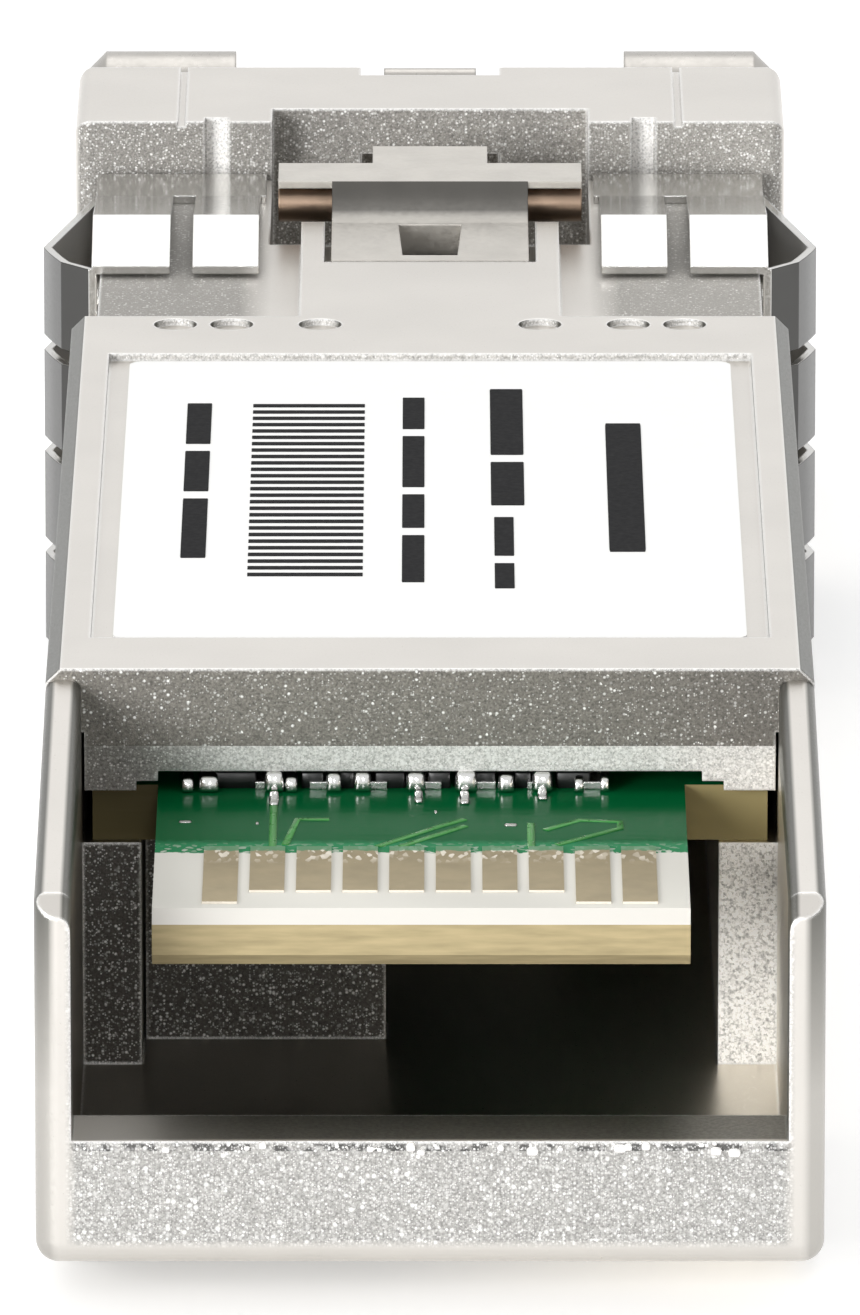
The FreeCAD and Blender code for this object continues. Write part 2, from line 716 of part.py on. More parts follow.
def build_top_cover():
    """Cast cover with the front lip, label recess, collar recess and latch opening."""
    body = new_body("top_cover")
    plate = rectangle(along(d.cover_start), SEAM, along(d.cover_end), d.body_height)
    pad(body, "YZ_Plane", [plate], -BODY_HALF, BODY_HALF)
    dress(body, "PartDesign::Chamfer", d.edge_chamfer,
          lambda a, b: near(a.z, d.body_height.value) and near(b.z, d.body_height.value)
          and near(abs(a.x), BODY_HALF.value) and near(a.x, b.x))
    lip_half = INNER_HALF - d.lip_clearance
    lip = [
        (along(d.cover_start), d.lip_break),
        (along(d.cover_start + d.lip_slant), CARD_TOP),
        (along(d.cover_start + d.lip_length), CARD_TOP),
        (along(d.cover_start + d.lip_length), SEAM + d.cover_plate / 2),
        (along(d.cover_start), SEAM + d.cover_plate / 2),
    ]
    pad(body, "YZ_Plane", [lip], -lip_half, lip_half)
    step_half = d.lip_notch_half + d.lip_step_width
    notch = [
        (-step_half, CARD_TOP - d.cut_overrun),
        (step_half, CARD_TOP - d.cut_overrun),
        (step_half, CARD_TOP + d.lip_step_depth),
        (d.lip_notch_half, CARD_TOP + d.lip_step_depth),
        (d.lip_notch_half, CARD_TOP + d.lip_notch_depth),
        (-d.lip_notch_half, CARD_TOP + d.lip_notch_depth),
        (-d.lip_notch_half, CARD_TOP + d.lip_step_depth),
        (-step_half, CARD_TOP + d.lip_step_depth),
    ]
    pocket(body, "XZ_Plane", [notch], along(d.cover_start) - d.cut_overrun,
           along(d.cover_start + d.lip_length) + d.cut_overrun)
    recess = rectangle(-d.recess_half, along(d.recess_start), d.recess_half, along(d.recess_end))
    pocket(body, "XY_Plane", [recess], d.body_height - d.recess_depth, d.body_height + d.cut_overrun)
    for offset in (d.pit_inner, d.pit_middle, d.pit_outer):
        pits = [("circle", side * offset, along(d.pit_row), d.pit_radius) for side in (-1, 1)]
        pocket(body, "XY_Plane", pits, d.body_height - d.pit_depth, d.body_height + d.cut_overrun)
    for side in (-1, 1):
        edges = sorted((side * d.collar_land_half, side * (BODY_HALF + d.cut_overrun)), key=lambda s: s.value)
        bed = rectangle(edges[0], along(d.collar_start), edges[1], along(d.cover_end) + d.cut_overrun)
        pocket(body, "XY_Plane", [bed], RECESSED_TOP, d.body_height + d.cut_overrun)
        edges = sorted((side * RECESSED_HALF, side * (BODY_HALF + d.cut_overrun)), key=lambda s: s.value)
        flank = rectangle(edges[0], along(d.collar_start), edges[1], along(d.cover_end) + d.cut_overrun)
        pocket(body, "XY_Plane", [flank], SEAM - d.cut_overrun, d.body_height + d.cut_overrun)
    slot_half = d.tongue_half + d.tongue_gap
    opening = [
        (-slot_half, along(d.tongue_start) - d.tongue_end_gap),
        (slot_half, along(d.tongue_start) - d.tongue_end_gap),
        (slot_half, along(d.channel_start)),
        (d.channel_half, along(d.channel_start)),
        (d.channel_half, along(d.cover_end) + d.cut_overrun),
        (-d.channel_half, along(d.cover_end) + d.cut_overrun),
        (-d.channel_half, along(d.channel_start)),
        (-slot_half, along(d.channel_start)),
    ]
    pocket(body, "XY_Plane", [opening], SEAM - d.cut_overrun, d.body_height + d.cut_overrun)
    for side in (-1, 1):
        inner = d.tongue_half + d.lug_gap
        ends = sorted((side * inner, side * (inner + d.lug_width)), key=lambda s: s.value)
        lug = rectangle(along(d.pivot_back) - d.lug_reach, d.pivot_height - d.lug_reach,
                        along(d.pivot_back) + d.lug_reach, SEAM + d.collar_sheet)
        pad(body, "YZ_Plane", [lug], *ends)
    bore = ("circle", along(d.pivot_back), d.pivot_height, d.pivot_pin_radius + d.pivot_clearance)
    pocket(body, "YZ_Plane", [bore], -BODY_HALF, BODY_HALF)
    return body


def build_label():
    """Blank paper label in its recess, with rounded corners."""
    body = new_body("label")
    low = d.body_height - d.recess_depth
    outline = rectangle(-d.label_half, along(d.label_start), d.label_half, along(d.label_end))
    pad(body, "XY_Plane", [outline], low, low + d.label_thickness)
    dress(body, "PartDesign::Fillet", d.label_corner, lambda a, b: near(a.x, b.x) and near(a.y, b.y))
    return body


def build_circuit_board():
    """Board with a narrow card edge and wide ears that the rails carry."""
    body = new_body("circuit_board")
    left = -d.card_width / 2 - d.card_offset
    right = d.card_width / 2 - d.card_offset
    outline = [
        (left, along(d.card_setback)),
        (right, along(d.card_setback)),
        (right, along(d.ear_start)),
        (d.ear_half, along(d.ear_start)),
        (d.ear_half, along(d.board_end)),
        (-d.ear_half, along(d.board_end)),
        (-d.ear_half, along(d.ear_start)),
        (left, along(d.ear_start)),
    ]
    pad(body, "XY_Plane", [outline], CARD_BOTTOM, CARD_TOP)
    front = along(d.card_setback).value
    dress(body, "PartDesign::Chamfer", d.card_bevel,
          lambda a, b: near(a.y, front) and near(b.y, front) and near(a.z, b.z))
    return body


def build_contact_pads(label, low, long_places):
    """Ten contacts across one face of the card edge."""
    count = 10
    pads = []
    for index in range(count):
        centre = (index - (count - 1) / 2) * d.pad_pitch
        start = d.long_pad_start if index in long_places else d.short_pad_start
        pads.append(box(f"{label}_{index + 1}", centre - d.pad_width / 2, centre + d.pad_width / 2,
                        along(start), along(d.pad_end), low, low + d.pad_thickness))
    return group(label, pads)


def build_interface_chip():
    """Moulded chip body behind the cover's lip."""
    body = new_body("interface_chip")
    half = d.chip_body_width / 2
    outline = rectangle(-half, along(d.chip_body_start), half,
                        along(d.chip_body_start + d.chip_body_length))
    low = CARD_TOP + d.chip_standoff
    pad(body, "XY_Plane", [outline], low, low + d.chip_body_height)
    return body


def build_interface_chip_leads():
    """Row of bent leads from the chip's front edge down to the board."""
    count = 7
    shin = CARD_TOP + d.chip_standoff + d.chip_body_height / 2
    members = []
    for index in range(count):
        centre = (index - (count - 1) / 2) * d.lead_pitch
        body = new_body(f"lead_{index + 1}")
        profile = [
            (along(d.lead_toe), CARD_TOP),
            (along(d.lead_knee), CARD_TOP),
            (along(d.chip_body_start) - d.lead_sheet, shin - d.lead_sheet),
            (along(d.chip_body_start), shin - d.lead_sheet),
            (along(d.chip_body_start), shin),
            (along(d.chip_body_start) - d.lead_sheet * 2, shin),
            (along(d.lead_knee) - d.lead_sheet, CARD_TOP + d.lead_sheet),
            (along(d.lead_toe), CARD_TOP + d.lead_sheet),
        ]
        pad(body, "YZ_Plane", [profile], centre - d.lead_width / 2, centre + d.lead_width / 2)
        members.append(body)
    return group("interface_chip_leads", members)


def build_controller_chip():
    """Square controller chip on the label side of the board."""
    body = new_body("controller_chip")
    half = d.controller_size / 2
    outline = rectangle(-half, along(d.controller_start), half,
                        along(d.controller_start + d.controller_size))
    pad(body, "XY_Plane", [outline], CARD_TOP, CARD_TOP + d.controller_height)
    return body


def build_driver_chip():
    """Laser driver chip on the heat-sink side of the board."""
    body = new_body("driver_chip")
    half = d.driver_size / 2
    outline = rectangle(-half, along(d.driver_start), half, along(d.driver_start + d.driver_size))
    pad(body, "XY_Plane", [outline], CARD_BOTTOM - d.driver_height, CARD_BOTTOM)
    return body


def build_thermal_pad():
    """Soft gap filler between the driver chip and the housing's plinth."""
    body = new_body("thermal_pad")
    half = d.driver_size / 2
    outline = rectangle(-half, along(d.driver_start), half, along(d.driver_start + d.driver_size))
    high = CARD_BOTTOM - d.driver_height
    pad(body, "XY_Plane", [outline], high - d.thermal_gap, high)
    return body


def build_chip_capacitors():
    """Row of chip capacitors near the flexible circuits."""
    count = 6
    members = []
    for index in range(count):
        centre = (index - (count - 1) / 2) * d.capacitor_pitch
        members.append(box(f"capacitor_{index + 1}",
                           centre - d.capacitor_width / 2, centre + d.capacitor_width / 2,
                           along(d.capacitor_start), along(d.capacitor_start + d.capacitor_length),
                           CARD_TOP, CARD_TOP + d.capacitor_height))
    return group("chip_capacitors", members)


def place_on_port_axis(body, side):
    bind(body, "Placement.Base.x", side * d.port_pitch / 2)
    bind(body, "Placement.Base.z", d.port_axis_height)


FLANGE_BACK = d.bulkhead_start - d.flange_length
CAN_BACK = FLANGE_BACK - d.can_length
HEADER_BACK = CAN_BACK - d.header_length
FLEX_FRONT = HEADER_BACK - d.stem_lead_length
CLAMP_START = CAN_BACK + d.clamp_setback


def build_sleeve(name, side):
    """Receptacle sleeve with the ferrule bore and the flange that seats on the bulkhead."""
    body = new_body(f"{name}_sleeve")
    revolve(body, [
        (d.sleeve_bore, along(FLANGE_BACK)),
        (d.flange_radius, along(FLANGE_BACK)),
        (d.flange_radius, along(d.bulkhead_start)),
        (d.sleeve_radius, along(d.bulkhead_start)),
        (d.sleeve_radius, along(d.sleeve_front) - d.sleeve_lead_in),
        (d.sleeve_radius - d.sleeve_lead_in, along(d.sleeve_front)),
        (d.sleeve_bore, along(d.sleeve_front)),
    ])
    place_on_port_axis(body, side)
    return body


def build_can(name, side):
    """Closed metal can behind the sleeve."""
    body = new_body(f"{name}_can")
    revolve(body, [
        (Size.of(0), along(CAN_BACK)),
        (d.can_radius, along(CAN_BACK)),
        (d.can_radius, along(FLANGE_BACK) - d.sleeve_lead_in),
        (d.can_radius - d.sleeve_lead_in, along(FLANGE_BACK)),
        (Size.of(0), along(FLANGE_BACK)),
    ])
    place_on_port_axis(body, side)
    return body


def build_header(name, side):
    """Round header with four leads that end at the flexible circuit."""
    body = new_body(f"{name}_header")
    revolve(body, [
        (Size.of(0), along(HEADER_BACK)),
        (d.header_radius, along(HEADER_BACK)),
        (d.header_radius, along(CAN_BACK)),
        (Size.of(0), along(CAN_BACK)),
    ])
    places = ((1, 0), (-1, 0), (0, 1), (0, -1))
    leads = [("circle", u * d.stem_lead_circle, v * d.stem_lead_circle, d.stem_lead_radius)
             for u, v in places]
    pad(body, "XZ_Plane", leads, along(FLEX_FRONT), along(HEADER_BACK))
    place_on_port_axis(body, side)
    return body


def build_flex(name, side):
    """Flexible circuit from the header's leads up to the underside of the board."""
    body = new_body(f"{name}_flex")
    centre = side * d.port_pitch / 2
    bottom = d.port_axis_height - d.stem_lead_circle - d.stem_lead_radius * 2
    profile = [
        (along(FLEX_FRONT), bottom),
        (along(FLEX_FRONT), CARD_BOTTOM),
        (along(d.board_end - d.flex_overlap), CARD_BOTTOM),
        (along(d.board_end - d.flex_overlap), CARD_BOTTOM - d.flex_sheet),
        (along(FLEX_FRONT) - d.flex_sheet, CARD_BOTTOM - d.flex_sheet),
        (along(FLEX_FRONT) - d.flex_sheet, bottom),
    ]
    pad(body, "YZ_Plane", [profile], centre - d.flex_width / 2, centre + d.flex_width / 2)
    return body


def build_optics_clamp():
    """Saddle on the tub's floor that carries both cans."""
    body = new_body("optics_clamp")
    half = d.narrow_half - d.clamp_side_gap
    outline = rectangle(-half, d.floor_thickness, half, d.port_axis_height)
    pad(body, "XZ_Plane", [outline], along(CLAMP_START), along(CLAMP_START + d.clamp_length))
    hollows = [("circle", side * d.port_pitch / 2, d.port_axis_height, d.can_radius)
               for _, side in SIDES]
    pocket(body, "XZ_Plane", hollows, along(CLAMP_START) - d.cut_overrun,
           along(CLAMP_START + d.clamp_length) + d.cut_overrun)
    return body


def finger_outline(floor, height, outward, swap):
    """Side view of one spring finger, bowed outwards (+1 or -1) to this height from the recess floor.

    Corners are (Y, height), or (height, Y) where swap is set, and the top is bowed.
    """
    turn = 1 if (outward > 0) != swap else -1
    bend = turn * d.finger_bend
    inner = turn * (d.collar_sheet - d.finger_bend)
    rise = floor + outward * height
    knee = rise - outward * d.finger_knee_drop
    lift = floor + outward * d.finger_tip_lift
    sheet_out = outward * d.collar_sheet
    root = along(d.band_start) + d.collar_sheet
    corners = [
        (root, floor),
        (root, floor + sheet_out),
        (along(d.band_start), floor + sheet_out),
        (along(d.finger_crest), rise + sheet_out, bend),
        (along(d.finger_knee), knee + sheet_out),
        (along(d.finger_tip), lift + sheet_out),
        (along(d.finger_tip), lift),
        (along(d.finger_knee), knee, inner),
        (along(d.finger_crest), rise),
        (along(d.band_start), floor),
    ]
    if swap:
        return [(corner[1], corner[0], *corner[2:]) for corner in corners]
    return corners


def build_emi_collar():
    """Stamped spring collar: a band open over the latch, with fingers on top and sides."""
    body = new_body("emi_collar")
    out_half = RECESSED_HALF + d.collar_sheet
    out_top = RECESSED_TOP + d.collar_sheet
    mouth = d.channel_half + d.collar_mouth_gap
    band = [
        (-out_half, Size.of(0)),
        (out_half, Size.of(0)),
        (out_half, out_top),
        (mouth, out_top),
        (mouth, RECESSED_TOP),
        (RECESSED_HALF, RECESSED_TOP),
        (RECESSED_HALF, d.collar_sheet),
        (-RECESSED_HALF, d.collar_sheet),
        (-RECESSED_HALF, RECESSED_TOP),
        (-mouth, RECESSED_TOP),
        (-mouth, out_top),
        (-out_half, out_top),
    ]
    pad(body, "XZ_Plane", [band], along(d.band_start), along(d.band_end))
    inner_edge = d.channel_half + d.top_finger_setback
    inner_end = inner_edge + d.top_finger_width
    outer_edge = inner_end + d.top_finger_gap
    for low, high in ((inner_edge, inner_end), (outer_edge, out_half)):
        pad(body, "YZ_Plane", [finger_outline(RECESSED_TOP, d.top_finger_rise, 1, False)], low, high)
        pad(body, "YZ_Plane", [finger_outline(RECESSED_TOP, d.top_finger_rise, 1, False)], -high, -low)
    rows = 4
    width = (out_top - d.side_finger_first - (rows - 1) * d.side_finger_gap) / rows
    for row in range(rows):
        low = d.side_finger_first + row * (width + d.side_finger_gap)
        for side in (-1, 1):
            outline = finger_outline(side * RECESSED_HALF, d.side_finger_rise, side, True)
            pad(body, "XY_Plane", [outline], low, low + width)
    return body


def build_latch_lever():
    """Lever with a hinge barrel, ramped tongue, winged latch head and a tail to the cam."""
    body = new_body("latch_lever")
    top = d.body_height + d.latch_height
    under = d.body_height - d.tongue_thickness
    rise = d.latch_height
    run = d.wing_start - d.ramp_start
    ramp_radius = (run * run + rise * rise) / (2 * rise)
    tongue = [
        (along(d.tongue_start), under),
        (along(d.wing_end), under),
        (along(d.wing_end), top),
        (along(d.wing_start), top, ramp_radius * -1),
        (along(d.ramp_start), d.body_height),
        (along(d.tongue_start), d.body_height),
    ]
    pad(body, "YZ_Plane", [tongue], -d.tongue_half, d.tongue_half)
    wings = rectangle(along(d.wing_start), top - d.wing_thickness, along(d.wing_end), top)
    pad(body, "YZ_Plane", [wings], -d.wing_half, d.wing_half)
    head = rectangle(along(d.wing_end) - d.tongue_thickness, d.tail_low, along(d.shoulder), top)
    pad(body, "YZ_Plane", [head], -d.tab_half, d.tab_half)
    tail = rectangle(along(d.shoulder) - d.tongue_thickness, d.tail_low, along(d.tail_end), d.tail_top)
    pad(body, "YZ_Plane", [tail], -d.tail_half, d.tail_half)
    web = rectangle(along(d.pivot_back), d.pivot_height, along(d.pivot_back) + d.barrel_radius * 2,
                    under + d.tongue_thickness / 2)
    web[0] = (along(d.pivot_back), d.pivot_height)
    web[3] = (along(d.tongue_start), under + d.tongue_thickness / 2)
    pad(body, "YZ_Plane", [web], -d.tongue_half, d.tongue_half)
    barrel = ("circle", along(d.pivot_back), d.pivot_height, d.barrel_radius)
    pad(body, "YZ_Plane", [barrel], -d.tongue_half, d.tongue_half)
    window = [
        (-d.window_near_half, along(d.window_start)),
        (d.window_near_half, along(d.window_start)),
        (d.window_far_half, along(d.window_end)),
        (-d.window_far_half, along(d.window_end)),
    ]
    pocket(body, "XY_Plane", [window], under - d.score_width, top + d.cut_overrun)
    hinge = ("circle", along(d.pivot_back), d.pivot_height, d.pivot_pin_radius + d.pivot_clearance)
    pocket(body, "YZ_Plane", [hinge], -BODY_HALF, BODY_HALF)
    pin_hole = ("circle", along(d.cross_pin_back), d.cross_pin_height, d.cross_pin_radius)
    pocket(body, "YZ_Plane", [pin_hole], -BODY_HALF, BODY_HALF)
    return body


def build_latch_spring():
    """Leaf spring on the channel floor that lifts the latch head."""
    body = new_body("latch_spring")
    profile = [
        (along(d.spring_foot_end), d.channel_floor),
        (along(d.spring_foot_end), d.channel_floor + d.spring_sheet),
        (along(d.spring_heel), d.channel_floor + d.spring_sheet),
        (along(d.spring_tip), d.tail_low),
        (along(d.spring_tip) - d.spring_sheet, d.tail_low),
        (along(d.spring_tip) - d.spring_sheet, d.tail_low - d.spring_sheet),
        (along(d.spring_heel) - d.spring_sheet, d.channel_floor),
    ]
    pad(body, "YZ_Plane", [profile], -d.spring_half, d.spring_half)
    return body


def build_bail_axle():
    """Axle that turns with the bail and carries the cam over the lever's tail."""
    body = new_body("bail_axle")
    y = along(d.axle_back)
    pad(body, "YZ_Plane", [("circle", y, d.axle_height, d.axle_radius)], -d.axle_half, d.axle_half)
    angle = math.radians(d.cam_lift_angle.value)
    back, up = math.cos(angle), math.sin(angle)
    tip_y = y - d.cam_reach * back
    tip_z = d.axle_height + d.cam_reach * up
    side_y, side_z = d.cam_radius * up, d.cam_radius * back
    lobe = [
        (y + side_y, d.axle_height + side_z),
        (tip_y + side_y, tip_z + side_z, d.cam_radius),
        (tip_y - side_y, tip_z - side_z),
        (y - side_y, d.axle_height - side_z),
    ]
    lobe[1] = lobe[1][:2]
    pad(body, "YZ_Plane", [lobe], -d.cam_half, d.cam_half)
    pad(body, "YZ_Plane", [("circle", tip_y, tip_z, d.cam_radius)], -d.cam_half, d.cam_half)
    return body


def build_bail_handle():
    """Bail: two hubs on the axle, arms beside the nose and a bar across its front."""
    body = new_body("bail_handle")
    front = along(d.overall_length)
    y = along(d.axle_back)
    arm = [
        (y, d.axle_height - d.arm_depth / 2),
        (front - d.arm_depth, d.axle_height - d.arm_depth / 2 - d.arm_drop),
        (front - d.arm_depth, d.bar_bottom),
        (front, d.bar_bottom),
        (front, d.axle_height + d.arm_depth / 2 - d.arm_drop),
        (y, d.axle_height + d.arm_depth / 2),
    ]
    bar = rectangle(front - d.arm_depth, d.bar_bottom, front, d.bar_bottom + d.arm_depth)
    pad(body, "YZ_Plane", [bar], -d.bail_half, d.bail_half)
    for side in (-1, 1):
        arm_ends = sorted((side * (d.bail_half - d.arm_width), side * d.bail_half), key=lambda s: s.value)
        pad(body, "YZ_Plane", [arm], *arm_ends)
        hub_ends = sorted((side * d.hub_inner, side * d.bail_half), key=lambda s: s.value)
        pad(body, "YZ_Plane", [("circle", y, d.axle_height, d.hub_radius)], *hub_ends)
    dress(body, "PartDesign::Chamfer", d.bail_chamfer,
          lambda a, b: near(abs(a.x), d.bail_half.value) and near(a.x, b.x))
    bore = ("circle", y, d.axle_height, d.axle_radius + d.axle_grip)
    pocket(body, "YZ_Plane", [bore], -d.axle_half, d.axle_half)
    return body


def build_all():
    parts = [build_base_housing(), build_top_cover(), build_label(), build_circuit_board()]
    parts.append(build_contact_pads("upper_contact_pads", CARD_TOP, (0, 8, 9)))
    parts.append(build_contact_pads("lower_contact_pads", CARD_BOTTOM - d.pad_thickness, (0, 3, 6, 9)))
    parts += [build_interface_chip(), build_interface_chip_leads(), build_controller_chip()]
    parts += [build_driver_chip(), build_thermal_pad(), build_chip_capacitors()]
    for name, side in SIDES:
        parts += [build_sleeve(name, side), build_can(name, side)]
        parts += [build_header(name, side), build_flex(name, side)]
    parts += [build_optics_clamp(), build_emi_collar(), build_latch_lever(), build_latch_spring()]
    parts.append(rod("lever_cross_pin", d.cross_pin_radius, d.wing_half,
                     d.cross_pin_back, d.cross_pin_height))
    parts.append(rod("lever_pivot_pin", d.pivot_pin_radius, d.tongue_half + d.lug_gap + d.lug_width,
                     d.pivot_back, d.pivot_height))
    parts += [build_bail_axle(), build_bail_handle()]
    return parts


def check_and_write(parts):
    doc.recompute()
    for item in doc.Objects:
        if "Invalid" in item.State or "Error" in item.State:
            raise RuntimeError(f"{item.Label} did not build: {item.State}")
    for item in parts:
        if item.Shape.isNull() or not item.Shape.isValid():
            raise RuntimeError(f"{item.Label} has no valid shape")
    os.makedirs("parts", exist_ok=True)
    for item in parts:
        item.Shape.exportStep(f"parts/{item.Label}.step")


check_and_write(build_all())
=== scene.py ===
"""Finishes, small board parts, label print and studio stage for a pluggable optical transceiver."""

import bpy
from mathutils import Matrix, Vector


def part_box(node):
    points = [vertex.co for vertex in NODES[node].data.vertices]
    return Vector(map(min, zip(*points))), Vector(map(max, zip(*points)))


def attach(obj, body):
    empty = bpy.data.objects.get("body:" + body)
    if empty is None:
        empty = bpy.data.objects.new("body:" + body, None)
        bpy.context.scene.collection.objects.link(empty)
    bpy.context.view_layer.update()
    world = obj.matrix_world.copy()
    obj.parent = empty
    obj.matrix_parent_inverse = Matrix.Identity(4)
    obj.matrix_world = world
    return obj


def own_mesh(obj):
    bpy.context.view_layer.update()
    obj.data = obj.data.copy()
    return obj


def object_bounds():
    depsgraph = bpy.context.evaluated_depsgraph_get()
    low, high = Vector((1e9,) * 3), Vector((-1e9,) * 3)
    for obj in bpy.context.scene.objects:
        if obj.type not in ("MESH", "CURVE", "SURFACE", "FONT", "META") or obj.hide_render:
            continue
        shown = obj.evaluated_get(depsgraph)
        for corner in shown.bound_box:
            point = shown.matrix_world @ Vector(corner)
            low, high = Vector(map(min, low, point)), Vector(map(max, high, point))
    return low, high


bl_info = {
    "name": "Optical Transceiver Finish",
    "version": (1, 0, 0),
    "blender": (4, 5, 0),
    "location": "View3D > Sidebar > Transceiver",
    "description": "Plated casting, edge board, spring collar, latch and label of a pluggable optical transceiver",
    "category": "Object",
}

import math
import random

import bmesh
import bpy
from mathutils import Vector

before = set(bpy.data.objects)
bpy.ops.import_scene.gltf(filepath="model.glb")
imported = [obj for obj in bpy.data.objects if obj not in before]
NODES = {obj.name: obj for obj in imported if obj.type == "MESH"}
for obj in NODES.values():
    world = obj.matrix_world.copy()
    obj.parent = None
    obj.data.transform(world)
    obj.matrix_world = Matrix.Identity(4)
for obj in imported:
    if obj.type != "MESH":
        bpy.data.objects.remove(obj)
CAD_LOW, CAD_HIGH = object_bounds()
MM = 0.001
HOST_END = CAD_LOW.y
CARD_LOW, CARD_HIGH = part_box("circuit_board")
_, PAD_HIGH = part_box("upper_contact_pads")
LABEL_LOW, LABEL_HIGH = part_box("label")
COVER_LOW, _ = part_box("top_cover")
# Top edge of the face under the sill, and the line on the pads at which the lacquer stops.
SILL_TOP = 3.15 * MM
LACQUER_END = PAD_HIGH.y - 0.13 * MM


def linear(hex_colour):
    """Linear RGBA of an sRGB hex colour."""
    parts = [int(hex_colour[i:i + 2], 16) / 255 for i in (1, 3, 5)]
    return [c / 12.92 if c <= 0.04045 else ((c + 0.055) / 1.055) ** 2.4 for c in parts] + [1.0]


def along(millimetres):
    """Y of a point this far from the host end."""
    return HOST_END + millimetres * MM


# Limits beyond the part, for areas that are open on that side.
PAST_END = along(60.0)
OVERHEAD = 20 * MM

# Beads of burr on the sill: how many, and the first and last place in X, in mm.
BEAD_COUNT = 70
BEAD_SPAN = (-4.9, 5.2)

# Columns of print: left and right edge in X, start and end from the host end, in mm, and the number of bars.
PRINT_COLUMNS = ((3.2, 3.85, 18.1, 26.8, 1), (1.1, 1.7, 21.2, 29.2, 2), (1.15, 1.5, 15.7, 20.4, 2),
                 (-0.5, -0.1, 16.1, 28.6, 4), (-4.45, -4.0, 17.7, 28.2, 3))
BAR_GAP = 0.5
# Block of equal stripes: middle and length in X, start and end from the host end, in mm.
STRIPE_MIDDLE, STRIPE_LONG, STRIPE_START, STRIPE_END = -2.22, 2.05, 16.6, 28.2

# Soldered ends of the chip parts: X, width and height in mm; their row and their length along Y.
SOLDERED_ENDS = ((-4.23, 0.24, 0.26), (-3.86, 0.4, 0.3), (-2.72, 0.38, 0.38), (-2.42, 0.24, 0.28), (-1.68, 0.3, 0.34),
                 (-1.18, 0.36, 0.38), (-0.25, 0.4, 0.38), (0.63, 0.42, 0.38), (1.33, 0.3, 0.32), (1.96, 0.4, 0.38),
                 (2.6, 0.2, 0.26), (3.05, 0.2, 0.3))
END_ROW, END_LONG = 10.66, 0.64
# Solder that ran forward along its land: X, width and reach in mm; where it starts and its height.
SOLDER_TAILS = ((-2.72, 0.2, 0.9), (-0.2, 0.16, 0.7), (0.6, 0.2, 0.8), (1.96, 0.18, 0.5))
TAIL_START, TAIL_TALL = 10.4, 0.08
# Bare test lands in the lacquer: X, distance from the host end and width in mm; length and height.
TEST_LANDS = ((-4.25, 8.6, 0.26), (-3.0, 8.5, 0.06), (1.4, 8.4, 0.24), (0.1, 9.2, 0.05))
LAND_LONG, LAND_TALL = 0.16, 0.02
# Resistor bodies: X and width in mm; their row, length and height.
RESISTORS = ((-3.4, 0.75), (-2.05, 0.4), (-1.45, 0.25), (-0.7, 0.55), (0.16, 0.4), (0.95, 0.4), (1.62, 0.3), (2.5, 0.6))
RESISTOR_ROW, RESISTOR_LONG, RESISTOR_TALL = 10.95, 0.6, 0.3
# Copper runs: corner points in mm, X and distance from the host end; their height over the board.
COPPER_RUNS = (((-2.72, 7.0), (-2.72, 8.5), (-2.72, 10.5)), ((-2.5, 7.2), (-2.3, 8.75), (-1.75, 8.75)),
               ((-0.9, 7.1), (0.15, 8.3), (0.6, 8.75)), ((-0.5, 7.1), (0.3, 8.0), (0.62, 8.35)),
               ((2.2, 7.2), (3.3, 8.2), (3.3, 8.6), (2.6, 8.7), (2.0, 8.1)), ((1.75, 7.0), (1.75, 8.5)))
RUN_TALL = 0.03

# Lamps: name, place and size in metres, and the setting that holds the power.
LAMPS = (("soft_box", (0.0, 0.24, 0.42), 0.34, "key"), ("front_fill", (-0.3, -0.45, 0.14), 0.2, "fill"),
         ("spark_lamp", (0.02, -0.42, 0.11), 0.03, "spark"))
# Floor: radius and drop below the part in metres, and the light that lifts it to white for the background rays.
FLOOR_RADIUS = 4.0
FLOOR_DROP = 0.02 * MM
FLOOR_LIFT = 0.36
# Camera: place in metres, width of the sensor in mm, near limit in metres.
CAMERA_PLACE = (0.0, -0.31985, 0.09516)
SENSOR_WIDTH = 36.0
CLIP_START = 0.01


def colour(name, description, hex_colour):
    """A colour property whose default is an sRGB hex value."""
    return bpy.props.FloatVectorProperty(name=name, description=description, subtype="COLOR", size=4,
                                         min=0.0, max=1.0, default=linear(hex_colour))


def length(name, description, millimetres):
    """A length property whose default is in millimetres."""
    return bpy.props.FloatProperty(name=name, description=description, subtype="DISTANCE", unit="LENGTH",
                                   precision=5, default=millimetres * MM)


class CastingSettings(bpy.types.PropertyGroup):
    """Finish of the die castings."""
    plated: colour("Plated Face", "Satin nickel on the smooth outer faces", "#D8D4CE")
    # The as-cast colour is partly a painted shade: the faces towards the host end are darkened with it.
    dull: colour("As-cast Face", "Nickel over the sparked texture of the end faces", "#8F8B84")
    # Painted light: the lit textured faces are brightened with this colour: the face under the sill, the lip, the rail,
    # the far step, the groove and the flange.
    bright: colour("Lit Texture", "Texture brightened by painted light where the lamps catch it", "#BDBBB7")
    # Painted dark reflection on the cover's long chamfers and the skirts' outer sides, and painted shade on the ledge
    # behind the sill.
    grey_shade: colour("Grey Shade", "Painted dark reflection and shade on chamfers, flanks and the ledge", "#5C5C57")
    # The tub's lining; a painted shade darkens it towards the transmit side.
    bay: colour("Bay", "Lining inside the tub, under a painted shade", "#E2DBCE")
    # Painted highlight colour: the glints, the edge highlights and the painted light on the lip, the groove and the
    # rail; also the beads' bright metal.
    speck: colour("Facet", "Single facets of the texture that catch the light", "#FBFAF8")
    grain: length("Grain", "Size of one facet of the sparked texture", 0.045)
    lip: length("Lip Height", "Height of the edge under which the cover's lip slants back", 7.1)
    edge: length("Edge Round", "Radius that tumbling leaves on the edges", 0.09)
    burr: length("Burr", "Height of the burr on the sill", 0.09)


